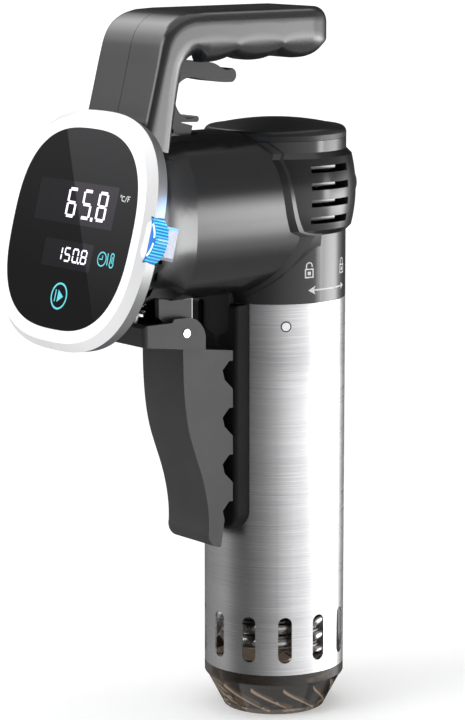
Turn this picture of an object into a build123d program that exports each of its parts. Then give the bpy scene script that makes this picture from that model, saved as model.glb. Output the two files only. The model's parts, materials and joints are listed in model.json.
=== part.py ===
"""Sous vide circulator: a clamp-on water heater and pump for a cooking pot.

Millimetres. +Z runs up the tube, the origin is the centre of the pump cap's flat foot,
and the display, the barrel and the clamp are on the -Y side.
"""
from build123d import *
import math
import os

os.makedirs("parts", exist_ok=True)

# ---------------------------------------------------------------- driving dimensions
SEAM = 0.15                    # gap between fixed shells
RUNNING = 0.05                 # radial gap of a pin in its bore
SLIDING = 0.4                  # gap beside a sliding or turning piece

TUBE_RADIUS = 30.0
SLEEVE_WALL = 0.8
SLEEVE_LENGTH = 159.4
SLOT_COUNT = 12
SLOT_WIDTH = 5.9
SLOT_HEIGHT = 20.0
SLOT_RISE = 15.3               # slot centre above the sleeve's lower edge
RIVET_RADIUS = 1.75
RIVET_COUNT = 3
RIVET_ANGLE = -30.0            # first rivet, degrees from +X
RIVET_DROP = 9.3               # rivet axis below the sleeve's upper edge
TWIST = 30.0                   # bayonet turn in degrees

CAP_HEIGHT = 19.5
CAP_BAND = 5.0
CAP_FOOT_RADIUS = 22.0
CAP_WALL = 2.0
CAP_FLOOR = 2.4

HEAD_WALL = 2.2
HEAD_COLLAR = 28.2             # plain collar under the vent band
BAND_HEIGHT = 34.5             # vent band with its two shoulders
BAND_SHOULDER = 2.3
BAND_CROWN = 1.8               # how far the band bows out past its shoulders
HEAD_NECK = 4.7                # plain neck above the vent band
LID_RIM = 3.6
LID_DOME = 4.2
LID_WALL = 2.2
BROW_SHIFT = 4.0               # groove circle off the axis, so the groove runs out at the sides
BROW_DEPTH = 1.6
BROW_HEIGHT = 0.8
VENT_ROWS = 4
VENT_PITCH = 7.05
VENT_HEIGHT = 3.0
VENT_ARC = 37.0                # length of one vent slot in degrees
VENT_ANGLE = 6.0               # middle of the right-hand slots, degrees from +X

BARREL_HALF_WIDTH = 29.6
BARREL_HALF_HEIGHT = 34.2
BARREL_EXPONENT = 2.6
BARREL_AXIS_Z = 216.6
BARREL_FRONT_Y = -64.0
BARREL_WALL = 2.2
SADDLE_FLARE = 1.6             # how far the barrel's foot spreads on the head
SADDLE_THICKNESS = 1.0

PANEL_TILT = 14.8              # display leans back by this many degrees
PANEL_Y = -105.3
PANEL_Z = 215.24
PANEL_EXPONENT = 2.69
GLASS_HALF = 40.8
GLASS_THICKNESS = 2.2
BEZEL_RING_HALF = 45.9
BEZEL_HALF = 48.9
BEZEL_BEVEL = 3.4
BEZEL_DEPTH = 8.9
BEZEL_BACK_HALF = 47.7
BEZEL_LEDGE = 2.6
BEZEL_LEDGE_THICKNESS = 2.2
COVER_RIM_HALF = 46.6
COVER_WAIST_Y = -80.0
COVER_WAIST_Z = 217.5
COVER_WAIST_HALF_WIDTH = 34.5
COVER_WAIST_HALF_HEIGHT = 34.6
COVER_WALL = 2.2
COVER_SLOT_HEIGHT = 3.6
COVER_SLOTS = ((18.0, -5.5, 3.4), (17.5, -12.5, 3.4), (16.5, -19.5, 8.0))

WHEEL_RADIUS = 10.0
WHEEL_THICKNESS = 6.8
WHEEL_X = 43.0
WHEEL_UP = 1.0                 # wheel axis above the panel's middle
WHEEL_DEPTH = 2.7              # wheel face behind the glass face
WHEEL_RIDGES = 36
WHEEL_RIDGE_DEPTH = 0.5
WHEEL_AXLE_RADIUS = 1.5

HANDLE_HALF_WIDTH = 24.0
HANDLE_BEVEL = 4.2
HANDLE_DEPTH = 20.5            # stem, front to back
GRIP_TOP_Z = 301.0
GRIP_HEIGHT = 17.0             # grip at the cusps between the fingers
GRIP_END_Y = 18.0
GRIP_END_ROUND = 7.0
FINGER_PITCH = 22.5
FINGER_BULGE = 3.2
FINGER_COUNT = 3
FINGER_END_GAP = 17.5          # last bulge's middle from the grip's end
STEM_FRONT_Y = -85.3           # stem's front face at the reference height
STEM_REFERENCE_Z = 263.4
BEND_RADIUS = 24.0
SCREW_RADIUS = 1.5
SCREW_HEAD_RADIUS = 2.9
SCREW_SINK = 6.0               # screw head below the handle's side
SCREW_GRIP = 10.0              # thread length in the other half

TRIGGER_HALF_WIDTH = 6.0
TRIGGER_TRAVEL = 5.0
NECK_DEPTH = 9.0
GUIDE_WIDTH = 16.6
GUIDE_DEPTH = 14.0
GUIDE_HEIGHT = 6.5
ROD_RADIUS = 2.0
ROD_TOP_Y = -53.5              # a point on the pull rod's line
ROD_TOP_Z = 252.0
ROD_PIN_RADIUS = 1.5
ROD_PIN_Z = 171.5
CUP_RADIUS = 6.4
CUP_LENGTH = 14.0
SPRING_RADIUS = 4.3
SPRING_WIRE = 0.5
SPRING_TURNS = 6

PIN_Y = -59.4
PIN_Z = 170.1
PIN_RADIUS = 1.75
ARM_HALF_WIDTH = 16.0
ARM_WALL = 2.4
JAW_HALF_WIDTH = 14.0
JAW_WALL = 2.4
TOOTH_PITCH = 19.9
TOOTH_COUNT = 4
BRACKET_HALF_WIDTH = 12.0
BRACKET_FRONT_Y = -70.5
BRACKET_REAR_Y = -53.6
PAD_HALF_WIDTH = 15.3
PAD_FACE_Y = -33.2
PAD_LENGTH = 96.0
PAD_TOP_Z = 178.6

SHAFT_RADIUS = 2.5
MOTOR_RADIUS = 20.0
MOTOR_HEIGHT = 26.0
IMPELLER_RADIUS = 17.0
IMPELLER_HEIGHT = 7.0
IMPELLER_VANES = 6
FAN_RADIUS = 21.0
FAN_BLADES = 7
COIL_RADIUS = 20.5
COIL_TUBE_RADIUS = 3.2
COIL_TURNS = 3.5
GLAND_BORE = 3.4
GLAND_LENGTH = 14.0

# ---------------------------------------------------------------- derived places
sleeve_top = CAP_HEIGHT + SLEEVE_LENGTH
head_base = sleeve_top + SEAM
band_base = head_base + HEAD_COLLAR
band_top = band_base + BAND_HEIGHT
head_top = band_top + HEAD_NECK
lid_top = head_top + LID_RIM + LID_DOME
band_middle = (band_base + band_top) / 2
sleeve_bore = TUBE_RADIUS - SLEEVE_WALL
head_bore = TUBE_RADIUS - HEAD_WALL
spigot_radius = sleeve_bore - SLIDING / 2
rivet_z = sleeve_top - RIVET_DROP

tilt = math.radians(PANEL_TILT)
panel_normal = (0, -math.cos(tilt), math.sin(tilt))
rod_line = (0, math.sin(tilt), math.cos(tilt))
panel = Plane(origin=(0, PANEL_Y, PANEL_Z), x_dir=(1, 0, 0), z_dir=panel_normal)
rod_slope = math.tan(tilt)
rod_plane = Plane(origin=(0, ROD_TOP_Y, ROD_TOP_Z), x_dir=(1, 0, 0), z_dir=rod_line)


def squircle(half_width, half_height, exponent, points=24):
    """Superellipse face, added to the current sketch."""
    corners = []
    for index in range(points):
        angle = 2 * math.pi * index / points
        x = abs(math.cos(angle)) ** (2 / exponent) * math.copysign(1, math.cos(angle))
        y = abs(math.sin(angle)) ** (2 / exponent) * math.copysign(1, math.sin(angle))
        corners.append((half_width * x, half_height * y))
    with BuildLine(mode=Mode.PRIVATE) as rim:
        Spline(*corners, periodic=True)
    return make_face(rim.edges())


def radial_plane(angle, rise, reach=0.0):
    """Plane that faces outwards from the Z axis, with its x direction up."""
    outwards = Vector(1, 0, 0).rotate(Axis.Z, angle)
    return Plane(origin=outwards * reach + Vector(0, 0, rise), x_dir=(0, 0, 1), z_dir=outwards)


def half_plane(angle):
    """Plane that holds the Z axis, with x pointing outwards at an angle and y up."""
    outwards = Vector(1, 0, 0).rotate(Axis.Z, angle)
    return Plane(origin=(0, 0, 0), x_dir=outwards, z_dir=outwards.rotate(Axis.Z, -90))


def panel_squircle(half, depth):
    """Squircle face at a depth behind the glass face."""
    with BuildSketch(panel.offset(-depth)) as outline:
        squircle(half, half, PANEL_EXPONENT)
    return outline.sketch


def barrel_squircle(y, inset):
    """Barrel section at a place along Y, drawn inside the outer section by the inset."""
    with BuildSketch(Plane(origin=(0, y, BARREL_AXIS_Z), x_dir=(1, 0, 0), z_dir=(0, -1, 0))) as outline:
        squircle(BARREL_HALF_WIDTH - inset, BARREL_HALF_HEIGHT - inset, BARREL_EXPONENT)
    return outline.sketch


def save(piece, label):
    """Label a finished piece and write its STEP file."""
    piece.part.label = label
    export_step(piece.part, f"parts/{label}.step")


def head_profile(grow):
    """Half section of the head's outer form about Z, grown outwards."""
    radius = TUBE_RADIUS + grow
    shoulder = radius + BAND_SHOULDER
    crown = shoulder + BAND_CROWN
    with BuildSketch(Plane.XZ) as outline:
        with BuildLine():
            Polyline(
                (0, head_base),
                (radius, head_base),
                (radius, band_base),
                (shoulder, band_base + BAND_SHOULDER),
            )
            ThreePointArc(
                (shoulder, band_base + BAND_SHOULDER),
                (crown, band_middle),
                (shoulder, band_top - BAND_SHOULDER),
            )
            Polyline(
                (shoulder, band_top - BAND_SHOULDER),
                (radius, band_top),
                (radius, head_top),
                (0, head_top),
                (0, head_base),
            )
        make_face()
    return outline.sketch


# ---------------------------------------------------------------- sleeve and pump cap
with BuildPart() as steel_sleeve:
    with BuildSketch(Plane.XY.offset(CAP_HEIGHT)):
        Circle(TUBE_RADIUS)
        Circle(sleeve_bore, mode=Mode.SUBTRACT)
    extrude(amount=SLEEVE_LENGTH)
    for index in range(SLOT_COUNT):
        with BuildSketch(radial_plane(index * 360 / SLOT_COUNT, CAP_HEIGHT + SLOT_RISE)):
            SlotOverall(SLOT_HEIGHT, SLOT_WIDTH)
        extrude(amount=TUBE_RADIUS + 1, mode=Mode.SUBTRACT)
    for index in range(RIVET_COUNT):
        turn = RIVET_ANGLE + index * 360 / RIVET_COUNT
        with BuildSketch(radial_plane(turn, rivet_z)):
            Circle(RIVET_RADIUS)
        extrude(amount=TUBE_RADIUS + 1, mode=Mode.SUBTRACT)
save(steel_sleeve, "steel_sleeve")

with BuildPart() as sleeve_rivets:
    for index in range(RIVET_COUNT):
        turn = RIVET_ANGLE + index * 360 / RIVET_COUNT
        with BuildSketch(radial_plane(turn, rivet_z, spigot_radius - 2.2)):
            Circle(RIVET_RADIUS)
        extrude(amount=TUBE_RADIUS + 0.15 - (spigot_radius - 2.2))
save(sleeve_rivets, "sleeve_rivets")

cap_skirt = 6.0                # collar that snaps up into the sleeve
cap_throat = 14.0              # water outlet above the impeller
with BuildPart() as pump_cap:
    with BuildSketch(Plane.XZ):
        with BuildLine():
            Polyline(
                (0, 0),
                (CAP_FOOT_RADIUS, 0),
                (TUBE_RADIUS - 0.3, CAP_HEIGHT - CAP_BAND),
                (TUBE_RADIUS, CAP_HEIGHT - CAP_BAND + 0.6),
                (TUBE_RADIUS, CAP_HEIGHT),
                (sleeve_bore - 0.1, CAP_HEIGHT),
                (sleeve_bore - 0.1, CAP_HEIGHT + cap_skirt),
                (sleeve_bore - CAP_WALL, CAP_HEIGHT + cap_skirt),
                (sleeve_bore - CAP_WALL, CAP_HEIGHT - CAP_BAND),
                (CAP_FOOT_RADIUS - CAP_WALL, CAP_FLOOR),
                (0, CAP_FLOOR),
                (0, 0),
            )
        make_face()
    revolve(axis=Axis.Z)
    foot_edge = edges().filter_by(GeomType.CIRCLE).group_by(Axis.Z)[0]
    fillet(foot_edge, radius=1.2)
    # Swirl ribs stand on the floor round the impeller and lead the water to the outlets.
    for index in range(IMPELLER_VANES):
        start = index * 360 / IMPELLER_VANES
        with BuildSketch(Plane.XY.offset(CAP_FLOOR - 0.2)):
            with BuildLine() as rib_path:
                ThreePointArc(
                    Vector(IMPELLER_RADIUS + 1.6, 0).rotate(Axis.Z, start),
                    Vector(IMPELLER_RADIUS + 4.0, 0).rotate(Axis.Z, start + 16),
                    Vector(IMPELLER_RADIUS + 5.6, 0).rotate(Axis.Z, start + 34),
                )
            trace(line_width=1.2)
        extrude(amount=9.0)
    with BuildSketch(Plane.XZ):
        with BuildLine():
            Polyline(
                (CAP_FOOT_RADIUS - 0.4, -0.1),
                (TUBE_RADIUS + 1, -0.1),
                (TUBE_RADIUS + 1, CAP_HEIGHT - CAP_BAND),
                (TUBE_RADIUS - 0.7, CAP_HEIGHT - CAP_BAND),
                (CAP_FOOT_RADIUS - 0.4, -0.1),
            )
        make_face()
    revolve(axis=Axis.Z, mode=Mode.SUBTRACT)
save(pump_cap, "pump_cap")

# ---------------------------------------------------------------- head
barrel_bore = barrel_squircle(0, BARREL_WALL + 1.0)
with BuildPart() as head_housing:
    add(head_profile(0))
    revolve(axis=Axis.Z)
    with BuildSketch(Plane.XY.offset(head_base)):
        Circle(head_bore)
    extrude(amount=head_top - head_base + 1, mode=Mode.SUBTRACT)
    # Mouth towards the barrel.
    extrude(barrel_bore, amount=TUBE_RADIUS + 6, mode=Mode.SUBTRACT)
    for row in range(VENT_ROWS):
        rise = band_middle + (row - (VENT_ROWS - 1) / 2) * VENT_PITCH
        for middle in (VENT_ANGLE, 180 - VENT_ANGLE):
            with BuildSketch(half_plane(middle - VENT_ARC / 2)):
                with Locations((TUBE_RADIUS + 1, rise)):
                    Rectangle(10, VENT_HEIGHT)
            revolve(axis=Axis.Z, revolution_arc=VENT_ARC, mode=Mode.SUBTRACT)
    # Hole of the mains inlet at the back.
    with BuildSketch(Plane(origin=(0, 0, band_middle), x_dir=(-1, 0, 0), z_dir=(0, 1, 0))):
        Circle(GLAND_BORE + 1.6)
    extrude(amount=TUBE_RADIUS + 8, mode=Mode.SUBTRACT)
save(head_housing, "head_housing")

with BuildPart() as cord_gland:
    gland_front = head_bore - 1.2
    with BuildSketch(Plane(origin=(0, gland_front, band_middle), x_dir=(-1, 0, 0), z_dir=(0, 1, 0))):
        Circle(GLAND_BORE + 1.5)
    extrude(amount=GLAND_LENGTH - 6.0)
    gland_shoulder = TUBE_RADIUS + BAND_SHOULDER + BAND_CROWN + 0.2
    with BuildSketch(Plane(origin=(0, gland_shoulder, band_middle), x_dir=(-1, 0, 0), z_dir=(0, 1, 0))):
        Circle(GLAND_BORE + 3.2)
    extrude(amount=gland_front + GLAND_LENGTH - gland_shoulder)
    with BuildSketch(Plane(origin=(0, gland_front - 1, band_middle), x_dir=(-1, 0, 0), z_dir=(0, 1, 0))):
        Circle(GLAND_BORE)
    extrude(amount=GLAND_LENGTH + 3, mode=Mode.SUBTRACT)
    rim_edge = edges().filter_by(GeomType.CIRCLE).group_by(Axis.Y)[-1].sort_by(SortBy.RADIUS)[-1]
    fillet(rim_edge, radius=1.2)
save(cord_gland, "cord_gland")

with BuildPart() as head_lid:
    with BuildSketch(Plane.XZ):
        with BuildLine():
            Polyline((0, head_top + SEAM), (TUBE_RADIUS, head_top + SEAM), (TUBE_RADIUS, head_top + LID_RIM - 1.4))
            ThreePointArc(
                (TUBE_RADIUS, head_top + LID_RIM - 1.4),
                (TUBE_RADIUS - 1.1, head_top + LID_RIM + 0.5),
                (TUBE_RADIUS - 3.4, head_top + LID_RIM + 1.0),
            )
            TangentArc((0, lid_top), (TUBE_RADIUS - 3.4, head_top + LID_RIM + 1.0), tangent=(1, 0))
            Line((0, lid_top), (0, head_top + SEAM))
        make_face()
    revolve(axis=Axis.Z)
    # Plug rim that drops inside the housing, and the hollow under the dome.
    with BuildSketch(Plane.XY.offset(head_top + SEAM)):
        Circle(head_bore - SEAM)
    extrude(amount=-3.0)
    with BuildSketch(Plane.XY.offset(head_top - 4)):
        Circle(head_bore - LID_WALL)
    extrude(amount=4 + LID_RIM - LID_WALL + 1, mode=Mode.SUBTRACT)
    # Brow groove, deepest over the barrel and running out round the sides.
    with BuildSketch(Plane.XY.offset(head_top + LID_RIM - 0.3)):
        Circle(TUBE_RADIUS + 4)
        with Locations((0, BROW_SHIFT)):
            Circle(TUBE_RADIUS + BROW_SHIFT - BROW_DEPTH, mode=Mode.SUBTRACT)
    extrude(amount=BROW_HEIGHT, mode=Mode.SUBTRACT)
save(head_lid, "head_lid")

# ---------------------------------------------------------------- barrel and display head
# The barrel's foot spreads over the head in a thin saddle.
with BuildPart() as saddle:
    add(head_profile(SADDLE_THICKNESS))
    revolve(axis=Axis.Z)
    extrude(barrel_squircle(0, -SADDLE_FLARE), amount=TUBE_RADIUS + 10, mode=Mode.INTERSECT)

with BuildPart() as head_form:
    add(head_profile(SEAM))
    revolve(axis=Axis.Z)
    with BuildSketch(Plane.XY.offset(head_top - 1)):
        Circle(TUBE_RADIUS + SEAM)
    extrude(amount=lid_top - head_top + 2)

with BuildPart() as barrel_housing:
    extrude(barrel_squircle(0, 0), amount=-BARREL_FRONT_Y)
    add(saddle.part)
    extrude(barrel_squircle(1, BARREL_WALL), amount=2 - BARREL_FRONT_Y, mode=Mode.SUBTRACT)
    add(head_form.part, mode=Mode.SUBTRACT)
    # Slot for the trigger's guide.
    with BuildSketch(rod_plane.offset(10)):
        Rectangle(GUIDE_WIDTH, GUIDE_DEPTH)
    extrude(amount=-24, mode=Mode.SUBTRACT)
save(barrel_housing, "barrel_housing")

def cover_form(inset):
    """Closed flared form between the bezel's back and the barrel's front."""
    end = 0.5 if inset > 0 else 0.0
    waist = Plane(origin=(0, COVER_WAIST_Y, COVER_WAIST_Z), x_dir=(1, 0, 0), z_dir=(0, -1, 0))
    with BuildPart(mode=Mode.PRIVATE) as form:
        add(panel_squircle(COVER_RIM_HALF - inset, BEZEL_DEPTH - end))
        with BuildSketch(waist):
            squircle(COVER_WAIST_HALF_WIDTH - inset, COVER_WAIST_HALF_HEIGHT - inset, BARREL_EXPONENT)
        add(barrel_squircle(BARREL_FRONT_Y + end, inset))
        loft()
    return form.part


with BuildPart() as display_back_cover:
    add(cover_form(0))
    add(cover_form(COVER_WALL), mode=Mode.SUBTRACT)
    # Notch for the thumb wheel and pocket for its fairing.
    with BuildSketch(panel.offset(0)):
        with Locations((WHEEL_X, WHEEL_UP)):
            Circle(WHEEL_RADIUS + SLIDING)
    extrude(amount=-(WHEEL_DEPTH + WHEEL_THICKNESS + SLIDING), mode=Mode.SUBTRACT)
    with BuildSketch(panel.offset(0)):
        with Locations((WHEEL_X, WHEEL_UP)):
            Rectangle(16, 13.6)
    extrude(amount=-17.1, mode=Mode.SUBTRACT)
    # Air slots in both cheeks, under the fairing.
    for side in (1, -1):
        for depth, up, length in COVER_SLOTS:
            slot_centre = panel.from_local_coords((side * 60, up, -depth))
            with BuildSketch(Plane(slot_centre, x_dir=(0, 1, 0), z_dir=(side, 0, 0))):
                Rectangle(length, COVER_SLOT_HEIGHT)
            extrude(amount=-34, mode=Mode.SUBTRACT)
    # Hole for the spring cup round the pull rod.
    with BuildSketch(rod_plane.offset(-50)):
        Circle(CUP_RADIUS)
    extrude(amount=-40, mode=Mode.SUBTRACT)
save(display_back_cover, "display_back_cover")

with BuildPart() as front_flare:
    add(panel_squircle(BEZEL_RING_HALF, 0))
    add(panel_squircle(BEZEL_HALF, BEZEL_BEVEL))
    loft()

with BuildPart() as rear_taper:
    add(panel_squircle(BEZEL_HALF, BEZEL_BEVEL))
    add(panel_squircle(BEZEL_BACK_HALF, BEZEL_DEPTH))
    loft()

with BuildPart() as bezel:
    add(front_flare.part)
    add(rear_taper.part)
    extrude(panel_squircle(GLASS_HALF + SEAM, -1), amount=-(GLASS_THICKNESS + 1 + 0.02), mode=Mode.SUBTRACT)
    extrude(panel_squircle(GLASS_HALF - BEZEL_LEDGE, 0), amount=-BEZEL_DEPTH - 1, mode=Mode.SUBTRACT)
    extrude(panel_squircle(BEZEL_RING_HALF - 0.6, GLASS_THICKNESS + BEZEL_LEDGE_THICKNESS), amount=-BEZEL_DEPTH, mode=Mode.SUBTRACT)
    with BuildSketch(panel.offset(-WHEEL_DEPTH + SLIDING)):
        with Locations((WHEEL_X, WHEEL_UP)):
            Circle(WHEEL_RADIUS + SLIDING)
    extrude(amount=-BEZEL_DEPTH, mode=Mode.SUBTRACT)
save(bezel, "bezel")

with BuildPart() as display_glass:
    extrude(panel_squircle(GLASS_HALF, 0), amount=-GLASS_THICKNESS)
save(display_glass, "display_glass")

board_depth = GLASS_THICKNESS + BEZEL_LEDGE_THICKNESS
board_thickness = 1.6
with BuildPart() as display_board:
    extrude(panel_squircle(GLASS_HALF - BEZEL_LEDGE + 1.6, board_depth), amount=-board_thickness)
    for up, width, height in ((8.0, 34, 16), (-10.0, 26, 12)):
        with BuildSketch(panel.offset(-GLASS_THICKNESS - SEAM)):
            with Locations((-4, up)):
                Rectangle(width, height)
        extrude(amount=-BEZEL_LEDGE_THICKNESS)
    with BuildSketch(panel.offset(0)):
        with Locations((WHEEL_X, WHEEL_UP)):
            Circle(WHEEL_RADIUS + 2 * SLIDING)
    extrude(amount=-BEZEL_DEPTH, mode=Mode.SUBTRACT)
save(display_board, "display_board")

wheel_face = panel.offset(-WHEEL_DEPTH)
with BuildPart() as scroll_wheel:
    with BuildSketch(wheel_face):
        with Locations((WHEEL_X, WHEEL_UP)):
            Circle(WHEEL_RADIUS)
    extrude(amount=-WHEEL_THICKNESS)
    chamfer(edges().filter_by(GeomType.CIRCLE), length=0.9)
    with BuildSketch(wheel_face):
        with Locations((WHEEL_X, WHEEL_UP)):
            with PolarLocations(WHEEL_RADIUS, WHEEL_RIDGES):
                RectangleRounded(2 * WHEEL_RIDGE_DEPTH, 0.8, 0.3)
    extrude(amount=-WHEEL_THICKNESS, mode=Mode.SUBTRACT)
    with BuildSketch(wheel_face):
        with Locations((WHEEL_X, WHEEL_UP)):
            Circle(WHEEL_AXLE_RADIUS + RUNNING)
    extrude(amount=-WHEEL_THICKNESS, mode=Mode.SUBTRACT)
save(scroll_wheel, "scroll_wheel")

encoder_depth = WHEEL_DEPTH + WHEEL_THICKNESS + SLIDING
with BuildPart() as wheel_encoder:
    with BuildSketch(panel.offset(-encoder_depth)):
        with Locations((WHEEL_X - 1.2, WHEEL_UP)):
            Rectangle(9, 9.4)
    extrude(amount=-4.6)
    with BuildSketch(panel.offset(-WHEEL_DEPTH - 0.3)):
        with Locations((WHEEL_X, WHEEL_UP)):
            Circle(WHEEL_AXLE_RADIUS)
    extrude(amount=-(encoder_depth - WHEEL_DEPTH))
save(wheel_encoder, "wheel_encoder")

with BuildPart() as wheel_fairing:
    with BuildSketch(panel.offset(-encoder_depth)):
        with Locations((WHEEL_X - 1.2, WHEEL_UP)):
            Rectangle(14.4, 13.2)
    extrude(amount=-7.0)
    outer_edges = edges().filter_by(Plane.YZ).group_by(Axis.X)[-1]
    chamfer(outer_edges, length=1.2)
    with BuildSketch(panel.offset(-encoder_depth)):
        with Locations((WHEEL_X - 1.6, WHEEL_UP)):
            Rectangle(10.2, 9.8)
    extrude(amount=-4.8, mode=Mode.SUBTRACT)
save(wheel_fairing, "wheel_fairing")

# ---------------------------------------------------------------- handle
grip_bottom_z = GRIP_TOP_Z - GRIP_HEIGHT
stem_foot_z = STEM_REFERENCE_Z - 22
grip_start_y = STEM_FRONT_Y + HANDLE_DEPTH + rod_slope * (grip_bottom_z - STEM_REFERENCE_Z)


def stem_front(z):
    """Y of the stem's leaning front face at a height."""
    return STEM_FRONT_Y + rod_slope * (z - STEM_REFERENCE_Z)


screw_places = (
    (GRIP_END_Y - 10, GRIP_TOP_Z - 9),
    (GRIP_END_Y - 32, GRIP_TOP_Z - 9),
    (stem_front(265) + HANDLE_DEPTH / 2, 265),
)


def handle_half(side):
    """One half of the handle; side is 1 for +X and -1 for -X."""
    with BuildPart(mode=Mode.PRIVATE) as half:
        with BuildSketch(Plane.YZ.offset(side * SEAM / 2)):
            with BuildLine():
                bend = FilletPolyline(
                    (stem_front(stem_foot_z), stem_foot_z),
                    (stem_front(GRIP_TOP_Z), GRIP_TOP_Z),
                    (GRIP_END_Y, GRIP_TOP_Z),
                    (GRIP_END_Y, grip_bottom_z),
                    (grip_start_y, grip_bottom_z),
                    (stem_front(stem_foot_z) + HANDLE_DEPTH, stem_foot_z),
                    radius=(BEND_RADIUS, GRIP_END_ROUND, GRIP_END_ROUND, GRIP_END_ROUND),
                )
                Line(bend @ 1, bend @ 0)
            make_face()
        extrude(amount=side * (HANDLE_HALF_WIDTH - SEAM / 2))
        rim = faces().filter_by(Plane.YZ).sort_by(Axis.X)[-1 if side > 0 else 0].edges()
        rim = rim.filter_by(lambda edge: edge.center().Z > stem_foot_z + 0.1)
        chamfer(rim, length=HANDLE_BEVEL)
        # Finger bulges under the grip.
        chord = FINGER_PITCH / 2
        with BuildSketch(Plane.YZ.offset(side * SEAM / 2)):
            for finger in range(FINGER_COUNT):
                middle = GRIP_END_Y - FINGER_END_GAP - finger * FINGER_PITCH
                with BuildLine():
                    ThreePointArc(
                        (middle - chord, grip_bottom_z),
                        (middle, grip_bottom_z - FINGER_BULGE),
                        (middle + chord, grip_bottom_z),
                    )
                    Polyline(
                        (middle + chord, grip_bottom_z),
                        (middle + chord, grip_bottom_z + 1),
                        (middle - chord, grip_bottom_z + 1),
                        (middle - chord, grip_bottom_z),
                    )
                make_face()
        extrude(amount=side * (HANDLE_HALF_WIDTH - HANDLE_BEVEL))
        # Recess under the grip that takes the trigger's arm when it is pulled.
        with BuildSketch(Plane.XY.offset(grip_bottom_z - 10)):
            with Locations((0, grip_start_y + 17)):
                Rectangle(2 * TRIGGER_HALF_WIDTH + 3, 42)
        extrude(amount=18.0, mode=Mode.SUBTRACT)
        # Screws that hold the halves together enter from the -X side.
        for y, z in screw_places:
            with BuildSketch(Plane((0, y, z), x_dir=(0, 1, 0), z_dir=(side, 0, 0))):
                Circle(SCREW_RADIUS + SEAM)
            extrude(amount=SCREW_GRIP if side > 0 else HANDLE_HALF_WIDTH, mode=Mode.SUBTRACT)
            if side < 0:
                with BuildSketch(Plane((-HANDLE_HALF_WIDTH, y, z), x_dir=(0, 1, 0), z_dir=(1, 0, 0))):
                    Circle(SCREW_HEAD_RADIUS + SEAM)
                extrude(amount=SCREW_SINK, mode=Mode.SUBTRACT)
        with BuildSketch(panel.offset(-BEZEL_DEPTH - SEAM)):
            Rectangle(150, 150)
        extrude(amount=40, mode=Mode.SUBTRACT)
        extrude(barrel_squircle(0, -SEAM), amount=1 - BARREL_FRONT_Y, mode=Mode.SUBTRACT)
        add(cover_form(-SEAM), mode=Mode.SUBTRACT)
    return half.part


right_half = handle_half(1)
with BuildPart() as handle_right:
    add(right_half)
save(handle_right, "handle_right")

left_half = handle_half(-1)
with BuildPart() as handle_left:
    add(left_half)
save(handle_left, "handle_left")

with BuildPart() as handle_screws:
    for y, z in screw_places:
        with BuildSketch(Plane((-HANDLE_HALF_WIDTH + SCREW_SINK, y, z), x_dir=(0, 1, 0), z_dir=(1, 0, 0))):
            Circle(SCREW_RADIUS)
        extrude(amount=HANDLE_HALF_WIDTH - SCREW_SINK + SCREW_GRIP - 1)
        with BuildSketch(Plane((-HANDLE_HALF_WIDTH + SCREW_SINK, y, z), x_dir=(0, 1, 0), z_dir=(-1, 0, 0))):
            Circle(SCREW_HEAD_RADIUS)
        extrude(amount=2.2)
save(handle_screws, "handle_screws")

# ---------------------------------------------------------------- trigger and pull rod
spine_front_y = stem_front(STEM_REFERENCE_Z) + HANDLE_DEPTH + SLIDING
with BuildPart() as trigger:
    with BuildSketch(Plane.YZ):
        # Drawn at the reference height: y along the stem's normal, z up the lean.
        with BuildLine():
            Polyline(
                (spine_front_y + rod_slope * (281.5 - STEM_REFERENCE_Z), 281.5),
                (spine_front_y + rod_slope * (252.8 - STEM_REFERENCE_Z), 252.8),
                (spine_front_y + rod_slope * (252.8 - STEM_REFERENCE_Z) + 10.0, 252.8),
                (-54.0, 255.4),
                (-46.7, 255.1),
            )
            ThreePointArc((-46.7, 255.1), (-45.1, 256.3), (-46.4, 257.6))
            Spline(
                (-46.4, 257.6),
                (-51.7, 256.9),
                (-56.0, 260.6),
                (-57.4, 265.5),
                (-56.0, 270.3),
                (-52.0, 273.0),
                (-46.0, 273.0),
            )
            Spline((-46.0, 273.0), (-40.7, 271.9), (-30.9, 270.6), (-27.6, 270.6))
            ThreePointArc((-27.6, 270.6), (-25.6, 273.4), (-27.6, 276.3))
            Spline((-27.6, 276.3), (-31.5, 275.8), (-35.5, 278.0), (-41.0, 279.5), (-47.5, 280.0))
            Line((-47.5, 280.0), (spine_front_y + rod_slope * (281.5 - STEM_REFERENCE_Z), 281.5))
        make_face()
    extrude(amount=TRIGGER_HALF_WIDTH, both=True)
    # Neck down into the guide.
    with BuildSketch(rod_plane.offset(3)):
        Rectangle(2 * TRIGGER_HALF_WIDTH, NECK_DEPTH)
    extrude(amount=-16)
    with BuildSketch(rod_plane.offset(-1)):
        Circle(ROD_RADIUS)
    extrude(amount=-14, mode=Mode.SUBTRACT)
save(trigger, "trigger")

with BuildPart() as trigger_guide:
    with BuildSketch(rod_plane.offset(-2.4)):
        Rectangle(GUIDE_WIDTH, GUIDE_DEPTH)
        Rectangle(2 * (TRIGGER_HALF_WIDTH + SLIDING), NECK_DEPTH + 2 * SLIDING, mode=Mode.SUBTRACT)
    extrude(amount=-GUIDE_HEIGHT)
save(trigger_guide, "trigger_guide")

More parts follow.
